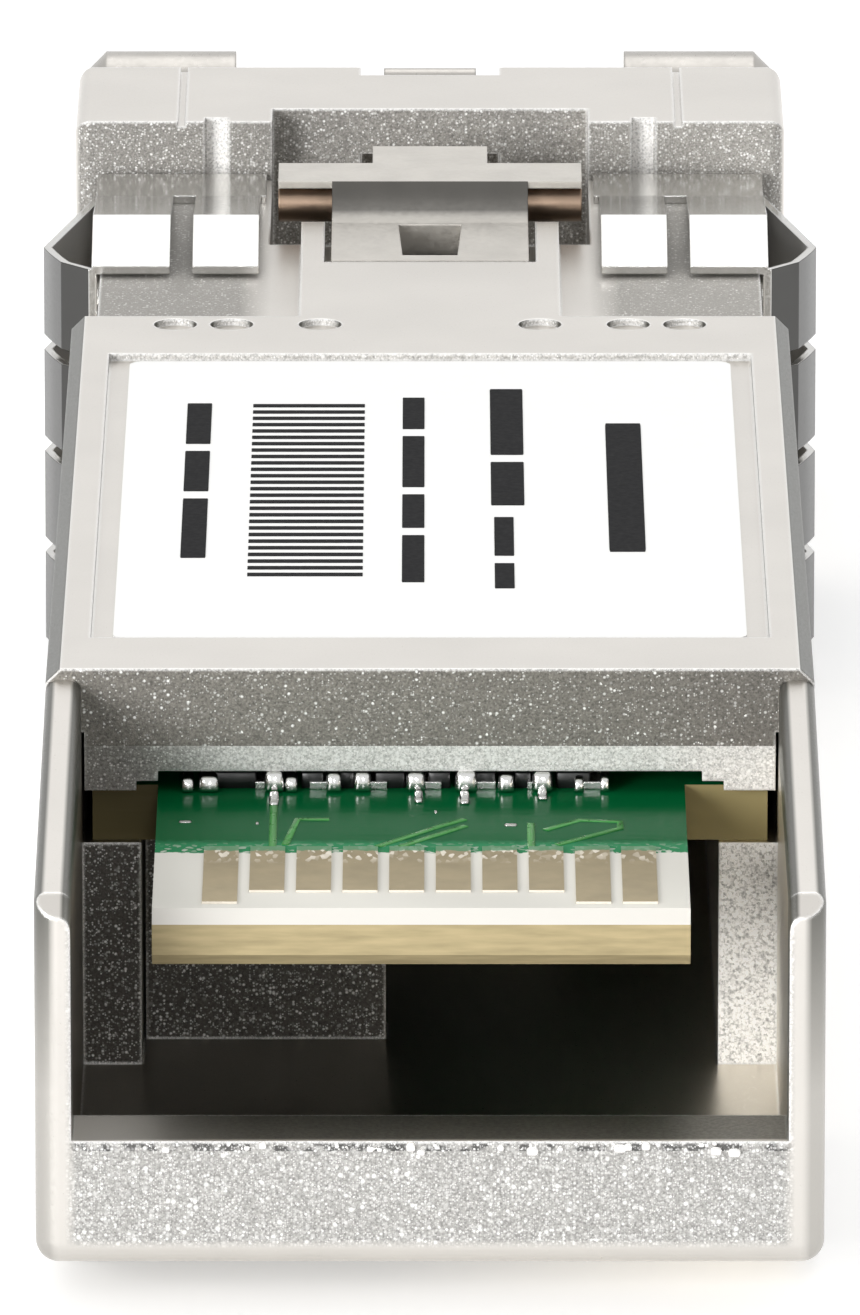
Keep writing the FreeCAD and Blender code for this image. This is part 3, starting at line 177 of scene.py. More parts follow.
class BoardSettings(bpy.types.PropertyGroup):
    """Finish of the edge board and what is soldered to it."""
    mask: colour("Solder Mask", "Green lacquer over the copper", "#045C31")
    mask_edge: colour("Mask Edge", "Thin lacquer at the end of the pads", "#2B8557")
    laminate: colour("Laminate", "Bare glass laminate between the pads", "#E0DED6")
    # Painted shade: the upper half of the bevel is darkened so that it reads like the flat face.
    bevel: colour("Bevel", "Upper half of the milled bevel", "#BDBAB3")
    bevel_low: colour("Lower Bevel", "Lower half of the milled bevel, smeared pale", "#E2DFD8")
    cut: colour("Cut Edge", "Routed edge of the laminate", "#BFAF88")
    # The ears' edges are darker than the front edge; a painted shade darkens them further towards the transmit side.
    ear: colour("Ear Edge", "Routed edge of the ears, darker than the front edge", "#8C815C")
    gold: colour("Contact Gold", "Hard gold of the edge contacts", "#B1A385")
    # Painted glints on the nodules beside the lacquer, and wear on the front edges of the contacts.
    glint_and_rub: colour("Pale Gold", "Painted glints on the nodules, and the contacts' front edges worn pale", "#F1E9DB")
    trace: colour("Trace", "Copper run seen through the lacquer", "#3C9440")
    trace_width: length("Trace Width", "Width of one copper run", 0.13)


class LabelSettings(bpy.types.PropertyGroup):
    """Paper and plain print of the label."""
    paper: colour("Paper", "White coated label stock", "#F7F7F5")
    ink: colour("Ink", "Thermal transfer ink", "#121214")
    pitch: length("Stripe Pitch", "Distance between two equal stripes", 0.44)
    film: length("Ink Film", "Height of the printed film", 0.008)


class LatchSettings(bpy.types.PropertyGroup):
    """Finish of the collar, the latch and the bail."""
    collar: colour("Collar", "Rolled spring steel of the shielding collar", "#CFCECB")
    lever: colour("Lever", "Blanked and coined steel of the latch lever", "#CCC8C1")
    # The pins' brown is a painted dark reflection of the slot under the lever's wings.
    pin: colour("Pin", "Brown of the pins, a painted dark reflection", "#9C8775")
    bail: colour("Bail", "Plated zinc of the bail", "#D0CCC6")


class StageSettings(bpy.types.PropertyGroup):
    """Floor, lamps and camera."""
    floor: colour("Floor", "Pale studio floor", "#EFEFEF")
    key: bpy.props.FloatProperty(name="Key", description="Power of the overhead soft box", unit="POWER", default=0.42)
    fill: bpy.props.FloatProperty(name="Fill", description="Power of the front fill", unit="POWER", default=2.4)
    spark: bpy.props.FloatProperty(name="Spark", description="Power of the small lamp that makes facets flash",
                                   unit="POWER", default=0.1)
    lens: bpy.props.FloatProperty(name="Lens", description="Focal length of the camera", unit="CAMERA", default=493.8)
    tilt: bpy.props.FloatProperty(name="Tilt", description="Angle of the camera from straight down", subtype="ANGLE",
                                  default=math.radians(74.025))


class TransceiverSettings(bpy.types.PropertyGroup):
    """All settings of the transceiver."""
    casting: bpy.props.PointerProperty(name="Casting", description="The die castings", type=CastingSettings)
    board: bpy.props.PointerProperty(name="Board", description="The edge board", type=BoardSettings)
    label: bpy.props.PointerProperty(name="Label", description="The label", type=LabelSettings)
    latch: bpy.props.PointerProperty(name="Latch", description="Collar, latch and bail", type=LatchSettings)
    stage: bpy.props.PointerProperty(name="Stage", description="Floor, lamps and camera", type=StageSettings)


# Kinds of node that recur.
MATH, RAMP, MIX = "ShaderNodeMath", "ShaderNodeMapRange", "ShaderNodeMix"
NOISE, CELLS, AXES = "ShaderNodeTexNoise", "ShaderNodeTexVoronoi", "ShaderNodeSeparateXYZ"
# Settings of a Mix node that lays one colour over another, and of one that multiplies them.
LAYER = {"data_type": "RGBA"}
TINT = {"data_type": "RGBA", "blend_type": "MULTIPLY"}
WHITE = (1.0, 1.0, 1.0, 1.0)


def feed(tree, node, inputs):
    """Sets or links the sockets of a node. A node given as a value stands for its result."""
    for key, value in inputs.items():
        if isinstance(value, bpy.types.Node):
            value = next(socket for socket in value.outputs if socket.enabled)
        if isinstance(value, bpy.types.NodeSocket):
            tree.links.new(value, node.inputs[key])
        else:
            node.inputs[key].default_value = value
    return node


def add(tree, kind, inputs=None, **settings):
    """Adds a node with its settings and feeds its sockets."""
    node = tree.nodes.new(kind)
    for name, value in settings.items():
        setattr(node, name, value)
    return feed(tree, node, inputs or {})


def new_material(name):
    """An empty node material with its Principled shader."""
    material = bpy.data.materials.new(name)
    material.use_nodes = True
    tree = material.node_tree
    return material, tree, next(n for n in tree.nodes if n.type == "BSDF_PRINCIPLED")


def survey(tree):
    """Readings of a point on a surface: where it lies and how its face is turned."""
    place = add(tree, "ShaderNodeTexCoord")
    reading = {"here": place.outputs["Object"]}
    for prefix, output in (("", "Object"), ("facing ", "Normal")):
        axes = add(tree, AXES, {"Vector": place.outputs[output]})
        for axis in "xyz":
            reading[prefix + axis] = axes.outputs[axis.upper()]
    return reading


def chart(tree, reading, areas):
    """Adds a value for each area of a surface to its readings: the product of the area's limits.

    A limit of three is sharp: the value is 1 while the reading that it names is between low and high. A limit of five
    is soft: the value runs from its first share at low to its second share at high.
    """
    for area, limits in areas.items():
        total = None
        for name, low, high, *shares in limits:
            if shares:
                part = add(tree, RAMP, {"Value": reading[name], "From Min": low, "From Max": high,
                                        "To Min": shares[0], "To Max": shares[1]})
            else:
                part = add(tree, MATH, {0: reading[name], 1: (low + high) / 2, 2: (high - low) / 2},
                           operation="COMPARE")
            total = part if total is None else add(tree, MATH, {0: total, 1: part}, operation="MULTIPLY")
        reading[area] = total


def background_rays(tree):
    """1 for the rays that show the white background: those from the camera, from gloss and through glass."""
    rays = add(tree, "ShaderNodeLightPath")
    shown = rays.outputs["Is Camera Ray"]
    for other in ("Is Glossy Ray", "Is Transmission Ray"):
        shown = add(tree, MATH, {0: shown, 1: rays.outputs[other]}, operation="MAXIMUM")
    return shown


def per_metre(size):
    """Texture scale whose pattern repeats at this size in metres."""
    return 1.0 / size


def dress(material, *names):
    """Puts a material on every slot of the named CAD nodes."""
    for name in names:
        for slot in NODES[name].material_slots:
            slot.material = material


def nickel_plated_casting(settings):
    # Zinc die casting under satin nickel. The outer faces are tumbled smooth and pale. The end faces keep the sparked
    # texture of the die:
    # grey, partly as a painted shade of the faces towards the host end, with painted glints on single facets and
    # painted light where the lamps reach them. Edges are rounded, with a painted highlight along them.
    material, tree, shader = new_material("nickel_plated_zinc_casting")
    reading = survey(tree)
    here = reading["here"]
    for name, source in (("side", "x"), ("slope", "facing x")):
        reading[name] = add(tree, MATH, {0: reading[source]}, operation="ABSOLUTE")
    for name, size, detail, roughness in (("fine", settings.grain, 3.0, 0.7),
                                          ("coarse", 1.9 * settings.grain, 3.0, 0.7),
                                          ("rag", 0.3 * MM, 2.0, 0.5), ("cloud", 2.5 * MM, 2.0, 0.5)):
        reading[name] = add(tree, NOISE, {"Vector": here, "Scale": per_metre(size), "Detail": detail,
                                          "Roughness": roughness})
    inner_wall = 6.22 * MM
    chart(tree, reading, {
        # The texture of the die is left on faces towards the host end, but not on the tumbled ends of the skirts. Its
        # darker colour there is partly a painted shade.
        "end face": (("facing y", -0.45, -0.75, 0.0, 1.0),),
        "between skirts": (("side", 6.2 * MM, 6.0 * MM, 0.0, 1.0), ("z", 1.25 * MM, 1.4 * MM, 0.0, 1.0)),
        "behind sill": (("y", along(2.0), PAST_END),),
        # Painted light on the textured faces that the lamps catch: the face under the sill, the lip, less towards its
        # transmit end, the rail on the receive side, the far step of the label's recess, and the step groove of the
        # flange.
        "sill": (("y", along(0.9), along(0.3), 0.0, 1.0),),
        "lip": (("z", 6.0 * MM, settings.lip), ("y", COVER_LOW.y - 0.1 * MM, COVER_LOW.y + 0.5 * MM),
                ("x", -5.5 * MM, -3.5 * MM, 0.3, 1.0)),
        "rail": (("x", 4.6 * MM, 4.9 * MM, 0.0, 1.0), ("y", along(9.8), along(12.2)),
                 ("z", 0.0, CARD_LOW.z + 0.1 * MM)),
        "far step": (("z", LABEL_LOW.z - 0.05 * MM, OVERHEAD), ("y", along(20.0), along(40.0))),
        "groove": (("side", 3.92 * MM, 4.32 * MM), ("y", along(46.5), PAST_END)),
        "flange": (("y", along(45.0), along(46.0), 0.0, 0.33),),
        # Painted shade: darker deep in the tub, on the transmit side, and on the receive half of the brow.
        "deep in": (("y", along(9.0), along(14.0)), ("z", 0.0, CARD_LOW.z)),
        "brow": (("y", along(10.2), along(11.0)), ("z", settings.lip, OVERHEAD),
                 ("x", -4.0 * MM, 5.0 * MM, 0.0, 1.0)),
        "painted_shade": (("x", -5.0 * MM, 4.0 * MM, 0.8, 1.0), ("deep in", 0.0, 1.0, 1.0, 0.5),
                    ("brow", 0.0, 1.0, 1.0, 0.65)),
        # The grain of the texture, with pits on the rail and a ragged painted shadow under the burr, just below the
        # sill's top.
        "burr_shadow": (("sill", 0.0, 1.0, 0.0, 1.0), ("z", SILL_TOP - 0.17 * MM, SILL_TOP - 0.03 * MM),
                     ("rag", 0.46, 0.54, 0.0, 1.0)),
        "pits": (("rail", 0.0, 1.0, 0.0, 1.0), ("coarse", 0.38, 0.6, -0.5, 0.25)),
        "grain": (("fine", 0.32, 0.68, 0.55, 1.4), ("burr_shadow", 0.0, 1.0, 1.0, 0.25), ("sill", 0.0, 1.0, 1.0, 0.75)),
        # Painted dark reflection on the long chamfers of the cover and on the outer sides of the skirts, darker towards
        # their top. Painted shade on the ledge behind the sill, lighter towards its left end and blotched in patches;
        # the floor of the collar's recess is frosted.
        "grey_shade": (("slope", 0.4, 0.6, 0.0, 1.0), ("z", 8.15 * MM, OVERHEAD), ("y", along(10.2), along(34.6))),
        "flank": (("slope", 0.08, 0.4, 0.0, 0.94), ("y", along(-1.0), along(10.35)),
                  ("z", 4.0 * MM, 7.5 * MM, 0.36, 1.0)),
        "ledge": (("y", along(0.15), along(1.55)), ("z", 3.0 * MM, 3.3 * MM), ("side", 0.0, inner_wall),
                  ("x", -6.0 * MM, -3.0 * MM, 0.0, 0.76)),
        "blotches": (("ledge", 0.0, 1.0, 0.0, 1.0), ("coarse", 0.35, 0.65, -0.8, 0.8)),
        "frosted": (("y", along(34.4), along(46.3)), ("z", 0.0, 8.2 * MM), ("side", 3.0 * MM, 3.6 * MM, 0.0, 1.0),
                    ("facing z", 0.3, 0.6, 0.0, 1.0)),
        # Inside the tub: the lining, with a painted shade that darkens it towards the transmit side.
        "bay": (("y", along(1.52), along(34.0)), ("side", 0.0, inner_wall), ("z", 0.0, 7.0 * MM)),
        "bay shade": (("x", -1.0 * MM, 5.0 * MM, 0.46, 1.02),),
        "satin": (("cloud", 0.3, 0.7, 0.94, 1.0),),
    })
    reached = add(tree, MATH, {0: reading["between skirts"], 1: reading["behind sill"]}, operation="MAXIMUM")
    textured = add(tree, MATH, {0: reading["end face"], 1: reached}, operation="MULTIPLY")
    lit_faces = reading["sill"]
    for name in ("lip", "rail", "far step", "groove", "flange"):
        lit_faces = add(tree, MATH, {0: lit_faces, 1: reading[name]}, use_clamp=True)
    # Painted glints: single facets painted in the highlight colour, in three sizes, more of them where painted light
    # falls, on the lip and deep in the tub.
    keen = add(tree, MATH, {0: reading["lip"], 1: reading["deep in"]}, operation="MAXIMUM")
    lively = add(tree, MATH, {0: keen, 1: 0.4, 2: lit_faces}, operation="MULTIPLY_ADD")
    lit = 0.0
    for size, rare in ((0.8, 0.84), (1.3, 0.88), (2.1, 1.06)):
        cells = add(tree, CELLS, {"Vector": here, "Scale": per_metre(size * settings.grain)})
        pick = add(tree, "ShaderNodeSeparateColor", {"Color": cells.outputs["Color"]})
        facet = {"rank": add(tree, MATH, {0: lively, 1: 0.3, 2: pick.outputs["Red"]}, operation="MULTIPLY_ADD"),
                 "reach": cells.outputs["Distance"], "flash": pick.outputs["Green"]}
        chart(tree, facet, {"glint": (("rank", rare, rare + 0.1, 0.0, 1.0), ("reach", 0.6, 0.25, 0.0, 1.0),
                                      ("flash", 0.0, 0.8, 0.2, 1.0))})
        lit = add(tree, MATH, {0: lit, 1: facet["glint"]}, operation="MAXIMUM")
    # Painted light: the lip, the groove and the rail are lifted towards the highlight colour.
    painted_lift = 0.0
    for name, share in (("lip", 0.4), ("groove", 0.8), ("rail", 0.95)):
        part = add(tree, MATH, {0: reading[name], 1: share}, operation="MULTIPLY")
        painted_lift = add(tree, MATH, {0: painted_lift, 1: part}, operation="MAXIMUM")
    nickel = add(tree, MIX, {"Factor": lit_faces, "A": settings.dull, "B": settings.bright}, **LAYER)
    tone = add(tree, MIX, {"Factor": painted_lift, "A": nickel, "B": settings.speck}, **LAYER)
    pitted = add(tree, MATH, {0: reading["pits"], 1: 1.0})
    grain = add(tree, MATH, {0: reading["grain"], 1: pitted}, operation="MULTIPLY")
    # Painted shade and painted light set the level of the textured faces.
    light_share = add(tree, MATH, {0: reading["painted_shade"], 1: lit_faces}, operation="MAXIMUM")
    pepper = add(tree, MATH, {0: grain, 1: light_share}, operation="MULTIPLY")
    peppered = add(tree, MIX, {"Factor": 1.0, "A": tone, "B": pepper}, **TINT)
    cast = add(tree, MIX, {"Factor": lit, "A": peppered, "B": settings.speck}, **LAYER)
    # The smooth faces, with the painted dark reflection and painted shade on them, the blotches on the ledge, the
    # frosting, and the bay.
    smooth = add(tree, MIX, {"Factor": 1.0, "A": settings.plated, "B": reading["satin"]}, **TINT)
    grey = reading["grey_shade"]
    for name in ("flank", "ledge"):
        grey = add(tree, MATH, {0: grey, 1: reading[name]}, operation="MAXIMUM")
    patchy = add(tree, MATH, {0: reading["blotches"], 1: 1.0})
    blotched = add(tree, MIX, {"Factor": 1.0, "A": settings.grey_shade, "B": patchy}, **TINT)
    outer = add(tree, MIX, {"Factor": grey, "A": smooth, "B": blotched}, **LAYER)
    frost = add(tree, MIX, {"Factor": 0.3, "A": cast, "B": settings.bright}, **LAYER)
    outer = add(tree, MIX, {"Factor": reading["frosted"], "A": outer, "B": frost}, **LAYER)
    lining = add(tree, MIX, {"Factor": 1.0, "A": settings.bay, "B": reading["bay shade"]}, **TINT)
    outer = add(tree, MIX, {"Factor": reading["bay"], "A": outer, "B": lining}, **LAYER)
    surface = add(tree, MIX, {"Factor": textured, "A": outer, "B": cast}, **LAYER)
    # Painted highlight along the edges: where the rounded normal leaves the face's own.
    rounded = add(tree, "ShaderNodeBevel", {"Radius": settings.edge}, samples=6)
    flat = add(tree, "ShaderNodeNewGeometry").outputs["Normal"]
    reading["flatness"] = add(tree, "ShaderNodeVectorMath", {0: rounded, 1: flat}, operation="DOT_PRODUCT")
    reading["rough"] = add(tree, MATH, {0: textured, 1: reading["frosted"]}, operation="MAXIMUM")
    reading["rough tumbled"] = add(tree, MATH, {0: reading["rough"], 1: lit_faces}, operation="MULTIPLY")
    chart(tree, reading, {
        "pale_edge": (("flatness", 0.995, 0.94, 0.0, 0.95), ("fine", 0.35, 0.55, 0.4, 1.0), ("grey_shade", 0.0, 1.0, 1.0, 0.0)),
        "relief": (("rough", 0.0, 1.0, 0.04, 0.4),),
        "metal": (("rough", 0.0, 1.0, 1.0, 0.45), ("rough tumbled", 0.0, 1.0, 1.0, 0.3)),
        "matt": (("rough", 0.0, 1.0, 0.0, 0.2),),
        "sheen": (("fine", 0.3, 0.7, 0.27, 0.4),),
    })
    feed(tree, shader, {
        "Base Color": add(tree, MIX, {"Factor": reading["pale_edge"], "A": surface, "B": settings.speck}, **LAYER),
        "Metallic": reading["metal"],
        "Roughness": add(tree, MATH, {0: reading["sheen"], 1: reading["matt"]}),
        "Normal": add(tree, "ShaderNodeBump", {"Strength": reading["relief"], "Distance": 0.03 * MM,
                                               "Height": reading["fine"], "Normal": rounded}),
    })
    return material


def ragged_lacquer(tree, reading):
    """Adds to the readings the distance along the card as the ragged edge of the lacquer follows it."""
    reading["ragged"] = add(tree, NOISE, {"Vector": reading["here"], "Scale": per_metre(0.16 * MM), "Detail": 3.0})
    reading["lacquer y"] = add(tree, MATH, {0: reading["ragged"], 1: 0.3 * MM, 2: reading["y"]},
                               operation="MULTIPLY_ADD")


def masked_laminate(settings):
    # Glass-epoxy board under green lacquer. The lacquer stops at the end of the gold pads and is thin there; between
    # the pads the milky laminate is bare and faintly banded, and the routed edges show tan glass cloth in layers.
    material, tree, shader = new_material("green_masked_glass_laminate")
    reading = survey(tree)
    here = reading["here"]
    ragged_lacquer(tree, reading)
    # Faint bands in the resin, 5.655 mm apart: much coarser than the glass threads, which would not show. A diagonal
    # wave turns through 10 radians over one texture unit.
    bands = add(tree, "ShaderNodeTexWave", {"Vector": here, "Scale": per_metre(5.655 * MM) * math.tau / 10,
                                            "Distortion": 1.5, "Detail": 2.0}, bands_direction="DIAGONAL")
    specks = add(tree, CELLS, {"Vector": here, "Scale": per_metre(0.09 * MM)})
    chosen = add(tree, "ShaderNodeSeparateColor", {"Color": specks.outputs["Color"]})
    stretched = add(tree, "ShaderNodeMapping", {"Vector": here, "Scale": (0.12, 1.0, 1.0)})
    layers = add(tree, NOISE, {"Vector": stretched, "Scale": per_metre(0.14 * MM), "Detail": 4.0})
    reading.update({"bands": bands.outputs["Fac"], "speck": chosen.outputs["Red"], "layers": layers})
    chart(tree, reading, {
        "upper": (("facing z", 0.4, 0.6, 0.0, 1.0),),
        "lower": (("facing z", -0.9, -0.95, 0.0, 1.0),),
        "lacquer": (("lacquer y", LACQUER_END, LACQUER_END + 0.04 * MM, 0.0, 1.0),),
        "thick": (("lacquer y", LACQUER_END + 0.5 * MM, LACQUER_END + 0.8 * MM, 0.0, 1.0),),
        "sparkle": (("speck", 0.7, 0.9, 0.0, 1.0), ("y", LACQUER_END + 0.5 * MM, LACQUER_END - 0.1 * MM, 0.0, 0.8)),
        "banded": (("bands", 0.0, 1.0, 0.93, 1.03),),
        # The bevel's upper half carries a painted shade, so that it reads like the flat face; below it the bevel is
        # smeared pale as far as the cutter's ragged lower edge.
        "milled": (("facing z", 0.97, 0.9, 0.0, 1.0),),
        "low edge": (("lacquer y", CARD_LOW.y + 0.62 * MM, CARD_LOW.y + 0.52 * MM, 0.0, 1.0),),
        "streak": (("layers", 0.3, 0.7, 0.78, 1.08),),
        "ears": (("y", along(9.0), PAST_END),),
        # Painted shade: the ears' edges darken towards the transmit side.
        "ear_shade": (("x", -4.0 * MM, 4.0 * MM, 0.6, 1.0),),
        "gloss": (("lacquer", 0.0, 1.0, 0.55, 0.16),),
    })
    bare = add(tree, MIX, {"Factor": 1.0, "A": settings.laminate, "B": reading["banded"]}, **TINT)
    bevel = add(tree, MIX, {"Factor": reading["low edge"], "A": settings.bevel, "B": settings.bevel_low}, **LAYER)
    fresh = add(tree, MIX, {"Factor": reading["milled"], "A": bare, "B": bevel}, **LAYER)
    green = add(tree, MIX, {"Factor": reading["thick"], "A": settings.mask_edge, "B": settings.mask}, **LAYER)
    speckled = add(tree, MIX, {"Factor": reading["sparkle"], "A": green, "B": settings.laminate}, **LAYER)
    top = add(tree, MIX, {"Factor": reading["lacquer"], "A": fresh, "B": speckled}, **LAYER)
    cut = add(tree, MIX, {"Factor": 1.0, "A": settings.cut, "B": reading["streak"]}, **TINT)
    shaded_ear = add(tree, MIX, {"Factor": 1.0, "A": settings.ear, "B": reading["ear_shade"]}, **TINT)
    routed = add(tree, MIX, {"Factor": reading["ears"], "A": cut, "B": shaded_ear}, **LAYER)
    level = add(tree, MATH, {0: reading["upper"], 1: reading["lower"]}, operation="MAXIMUM")
    feed(tree, shader, {
        "IOR": 1.1,
        "Base Color": add(tree, MIX, {"Factor": level, "A": routed, "B": top}, **LAYER),
        "Roughness": reading["gloss"],
        "Normal": add(tree, "ShaderNodeBump", {"Strength": 0.2, "Distance": 0.02 * MM, "Height": layers}),
    })
    return material


def hard_gold(settings):
    # Hard gold over nickel, plated in a bath and wiped by mating: a dull, greyish satin gold. Lacquer has crept over
    # the inner ends; beside it the plating is nodular, with painted glints on the nodules, and the front edges are worn
    # pale.
    material, tree, shader = new_material("hard_gold_plate")
    reading = survey(tree)
    here = reading["here"]
    ragged_lacquer(tree, reading)
    reading["cloud"] = add(tree, NOISE, {"Vector": here, "Scale": per_metre(0.5 * MM), "Detail": 3.0})
    drawn_out = add(tree, "ShaderNodeMapping", {"Vector": here, "Scale": (1.0, 0.4, 1.0)})
    nodules = add(tree, CELLS, {"Vector": drawn_out, "Scale": per_metre(0.08 * MM)})
    chosen = add(tree, "ShaderNodeSeparateColor", {"Color": nodules.outputs["Color"]})
    reading["nodule"] = chosen.outputs["Red"]
    chart(tree, reading, {
        "shade": (("cloud", 0.3, 0.7, 0.88, 1.04),),
        "lacquer": (("lacquer y", LACQUER_END, LACQUER_END + 0.04 * MM, 0.0, 0.85),),
        # Painted glints on the nodules beside the lacquer.
        "sparkle": (("nodule", 0.6, 0.9, 0.0, 1.0),
                    ("lacquer y", LACQUER_END - 0.75 * MM, LACQUER_END - 0.3 * MM, 0.0, 0.9)),
        "pale_edge": (("facing y", -0.5, -0.8, 0.0, 1.0),),
    })
    gilt = add(tree, MIX, {"Factor": 1.0, "A": settings.gold, "B": reading["shade"]}, **TINT)
    pale = add(tree, MATH, {0: reading["sparkle"], 1: reading["pale_edge"]}, operation="MAXIMUM")
    glint_and_rub = add(tree, MIX, {"Factor": pale, "A": gilt, "B": settings.glint_and_rub}, **LAYER)
    covered = add(tree, MATH, {0: pale, 1: reading["lacquer"]}, operation="MAXIMUM")
    feed(tree, shader, {
        "Base Color": add(tree, MIX, {"Factor": reading["lacquer"], "A": glint_and_rub, "B": settings.mask_edge}, **LAYER),
        "Metallic": add(tree, MATH, {0: 1.0, 1: covered}, operation="SUBTRACT"),
        "Roughness": 0.4,
        "Normal": add(tree, "ShaderNodeBump", {"Strength": 0.15, "Distance": 0.01 * MM, "Height": reading["ragged"]}),
    })
    return material


def drawn_metal(name, base_colour, roughness, grain_mm, stretch=(1.0, 1.0, 1.0), tarnish=0.12, edge_mm=0.04,
                shade_axis="x", shade_to=1.0, square_to=None, outward=False):
    """A metal with a grain in one direction: base colour clouded by tarnish, grain in roughness and relief.

    Faces turned towards one axis carry a painted shade, a share of the base colour; square_to is the share where a face
    is square to the axis. With outward, only faces turned outward carry the painted shade, and those turned inward are
    left matt.
    """
    material, tree, shader = new_material(name)
    reading = survey(tree)
    drawn = add(tree, "ShaderNodeMapping", {"Vector": reading["here"], "Scale": stretch})
    grain = add(tree, NOISE, {"Vector": drawn, "Scale": per_metre(grain_mm * MM), "Detail": 4.0, "Roughness": 0.6})
    reading["grain"] = grain
    reading["cloud"] = add(tree, NOISE, {"Vector": reading["here"], "Scale": per_metre(0.9 * MM), "Detail": 3.0})
    facing = reading["facing " + shade_axis]
    metallic = 1.0
    if outward:
        half = add(tree, MATH, {0: reading[shade_axis]}, operation="SIGN")
        reading["turned"] = add(tree, MATH, {0: facing, 1: half}, operation="MULTIPLY")
        chart(tree, reading, {"metal": (("turned", -0.1, -0.4, 1.0, 0.1),)})
        metallic = reading["metal"]
    else:
        reading["turned"] = add(tree, MATH, {0: facing}, operation="ABSOLUTE")
    # Painted shade on the faces turned towards the axis.
    chart(tree, reading, {
        "orientation_shade": (("turned", 0.1, 0.4, 1.0, shade_to),),
        "shade": (("cloud", 0.3, 0.7, 1.0 - tarnish, 1.0),),
        "rough": (("grain", 0.3, 0.7, roughness - 0.07, roughness + 0.07),),
    })
    if square_to is not None:
        chart(tree, reading, {"orientation_shade": (("turned", 0.9, 0.99, reading["orientation_shade"], square_to),)})
    level = add(tree, MATH, {0: reading["shade"], 1: reading["orientation_shade"]}, operation="MULTIPLY")
    rounded = add(tree, "ShaderNodeBevel", {"Radius": edge_mm * MM}, samples=6)
    feed(tree, shader, {
        "Base Color": add(tree, MIX, {"Factor": 1.0, "A": base_colour, "B": level}, **TINT),
        "Metallic": metallic,
        "Roughness": reading["rough"],
        "Normal": add(tree, "ShaderNodeBump", {"Strength": 0.12, "Distance": 0.01 * MM, "Height": grain,
                                               "Normal": rounded}),
    })
    return material


def moulded(name, base_colour, roughness, ior, grain_mm, depth=0.3, mottle=0.12):
    """A moulded or cast non-metal: fine grain in colour, roughness and relief."""
    material, tree, shader = new_material(name)
    here = add(tree, "ShaderNodeTexCoord").outputs["Object"]
    grain = add(tree, NOISE, {"Vector": here, "Scale": per_metre(grain_mm * MM), "Detail": 4.0, "Roughness": 0.6})
    reading = {"grain": grain}
    chart(tree, reading, {
        "shade": (("grain", 0.3, 0.7, 1.0 - mottle, 1.0 + mottle / 2),),
        "rough": (("grain", 0.3, 0.7, roughness - 0.06, roughness + 0.06),),
    })
    feed(tree, shader, {
        "IOR": ior,
        "Base Color": add(tree, MIX, {"Factor": 1.0, "A": base_colour, "B": reading["shade"]}, **TINT),
        "Roughness": reading["rough"],
        "Normal": add(tree, "ShaderNodeBump", {"Strength": depth, "Distance": 0.01 * MM, "Height": grain}),
    })
    return material


def new_tree(name, sockets):
    """A Geometry Nodes tree with the named inputs, and its input and output nodes."""
    tree = bpy.data.node_groups.new(name, "GeometryNodeTree")
    tree.interface.new_socket("Geometry", in_out="OUTPUT", socket_type="NodeSocketGeometry")
    tree.interface.new_socket("Geometry", in_out="INPUT", socket_type="NodeSocketGeometry")
    for label, kind in sockets:
        tree.interface.new_socket(label, in_out="INPUT", socket_type="NodeSocket" + kind)
    return tree, add(tree, "NodeGroupInput"), add(tree, "NodeGroupOutput")


def row_tree():
    """Sets one shape on each point, sized by the point's own size and varied a little by the seed."""
    tree, given, made = new_tree("row_of_pieces", (("Shape", "Object"), ("Spread", "Float"), ("Seed", "Int"),
                                                   ("Finish", "Material")))
    shape = add(tree, "GeometryNodeObjectInfo", {"Object": given.outputs["Shape"]})
    size = add(tree, "GeometryNodeInputNamedAttribute", {"Name": "size"}, data_type="FLOAT_VECTOR")
    low = add(tree, MATH, {0: 1.0, 1: given.outputs["Spread"]}, operation="SUBTRACT")
    vary = add(tree, "FunctionNodeRandomValue", {2: low, 3: 1.0, "Seed": given.outputs["Seed"]}, data_type="FLOAT")
    scale = add(tree, "ShaderNodeVectorMath", {0: size.outputs["Attribute"], "Scale": vary.outputs[1]},
                operation="SCALE")
    row = add(tree, "GeometryNodeInstanceOnPoints", {"Points": given.outputs["Geometry"],
                                                     "Instance": shape.outputs["Geometry"], "Scale": scale})
    real = add(tree, "GeometryNodeRealizeInstances", {"Geometry": row})
    finish = add(tree, "GeometryNodeSetMaterial", {"Geometry": real, "Material": given.outputs["Finish"]})
    feed(tree, made, {"Geometry": finish})
    return tree


def run_tree():
    """Turns each polyline into a flat run of this width and height."""
    tree, given, made = new_tree("copper_runs", (("Width", "Float"), ("Height", "Float"), ("Finish", "Material")))
    path = add(tree, "GeometryNodeMeshToCurve", {"Mesh": given.outputs["Geometry"]})
    section = add(tree, "GeometryNodeCurvePrimitiveQuadrilateral", {"Width": given.outputs["Width"],
                                                                    "Height": given.outputs["Height"]})
    sweep = add(tree, "GeometryNodeCurveToMesh", {"Curve": path, "Profile Curve": section, "Fill Caps": True})
    real = add(tree, "GeometryNodeRealizeInstances", {"Geometry": sweep})
    finish = add(tree, "GeometryNodeSetMaterial", {"Geometry": real, "Material": given.outputs["Finish"]})
    feed(tree, made, {"Geometry": finish})
    return tree


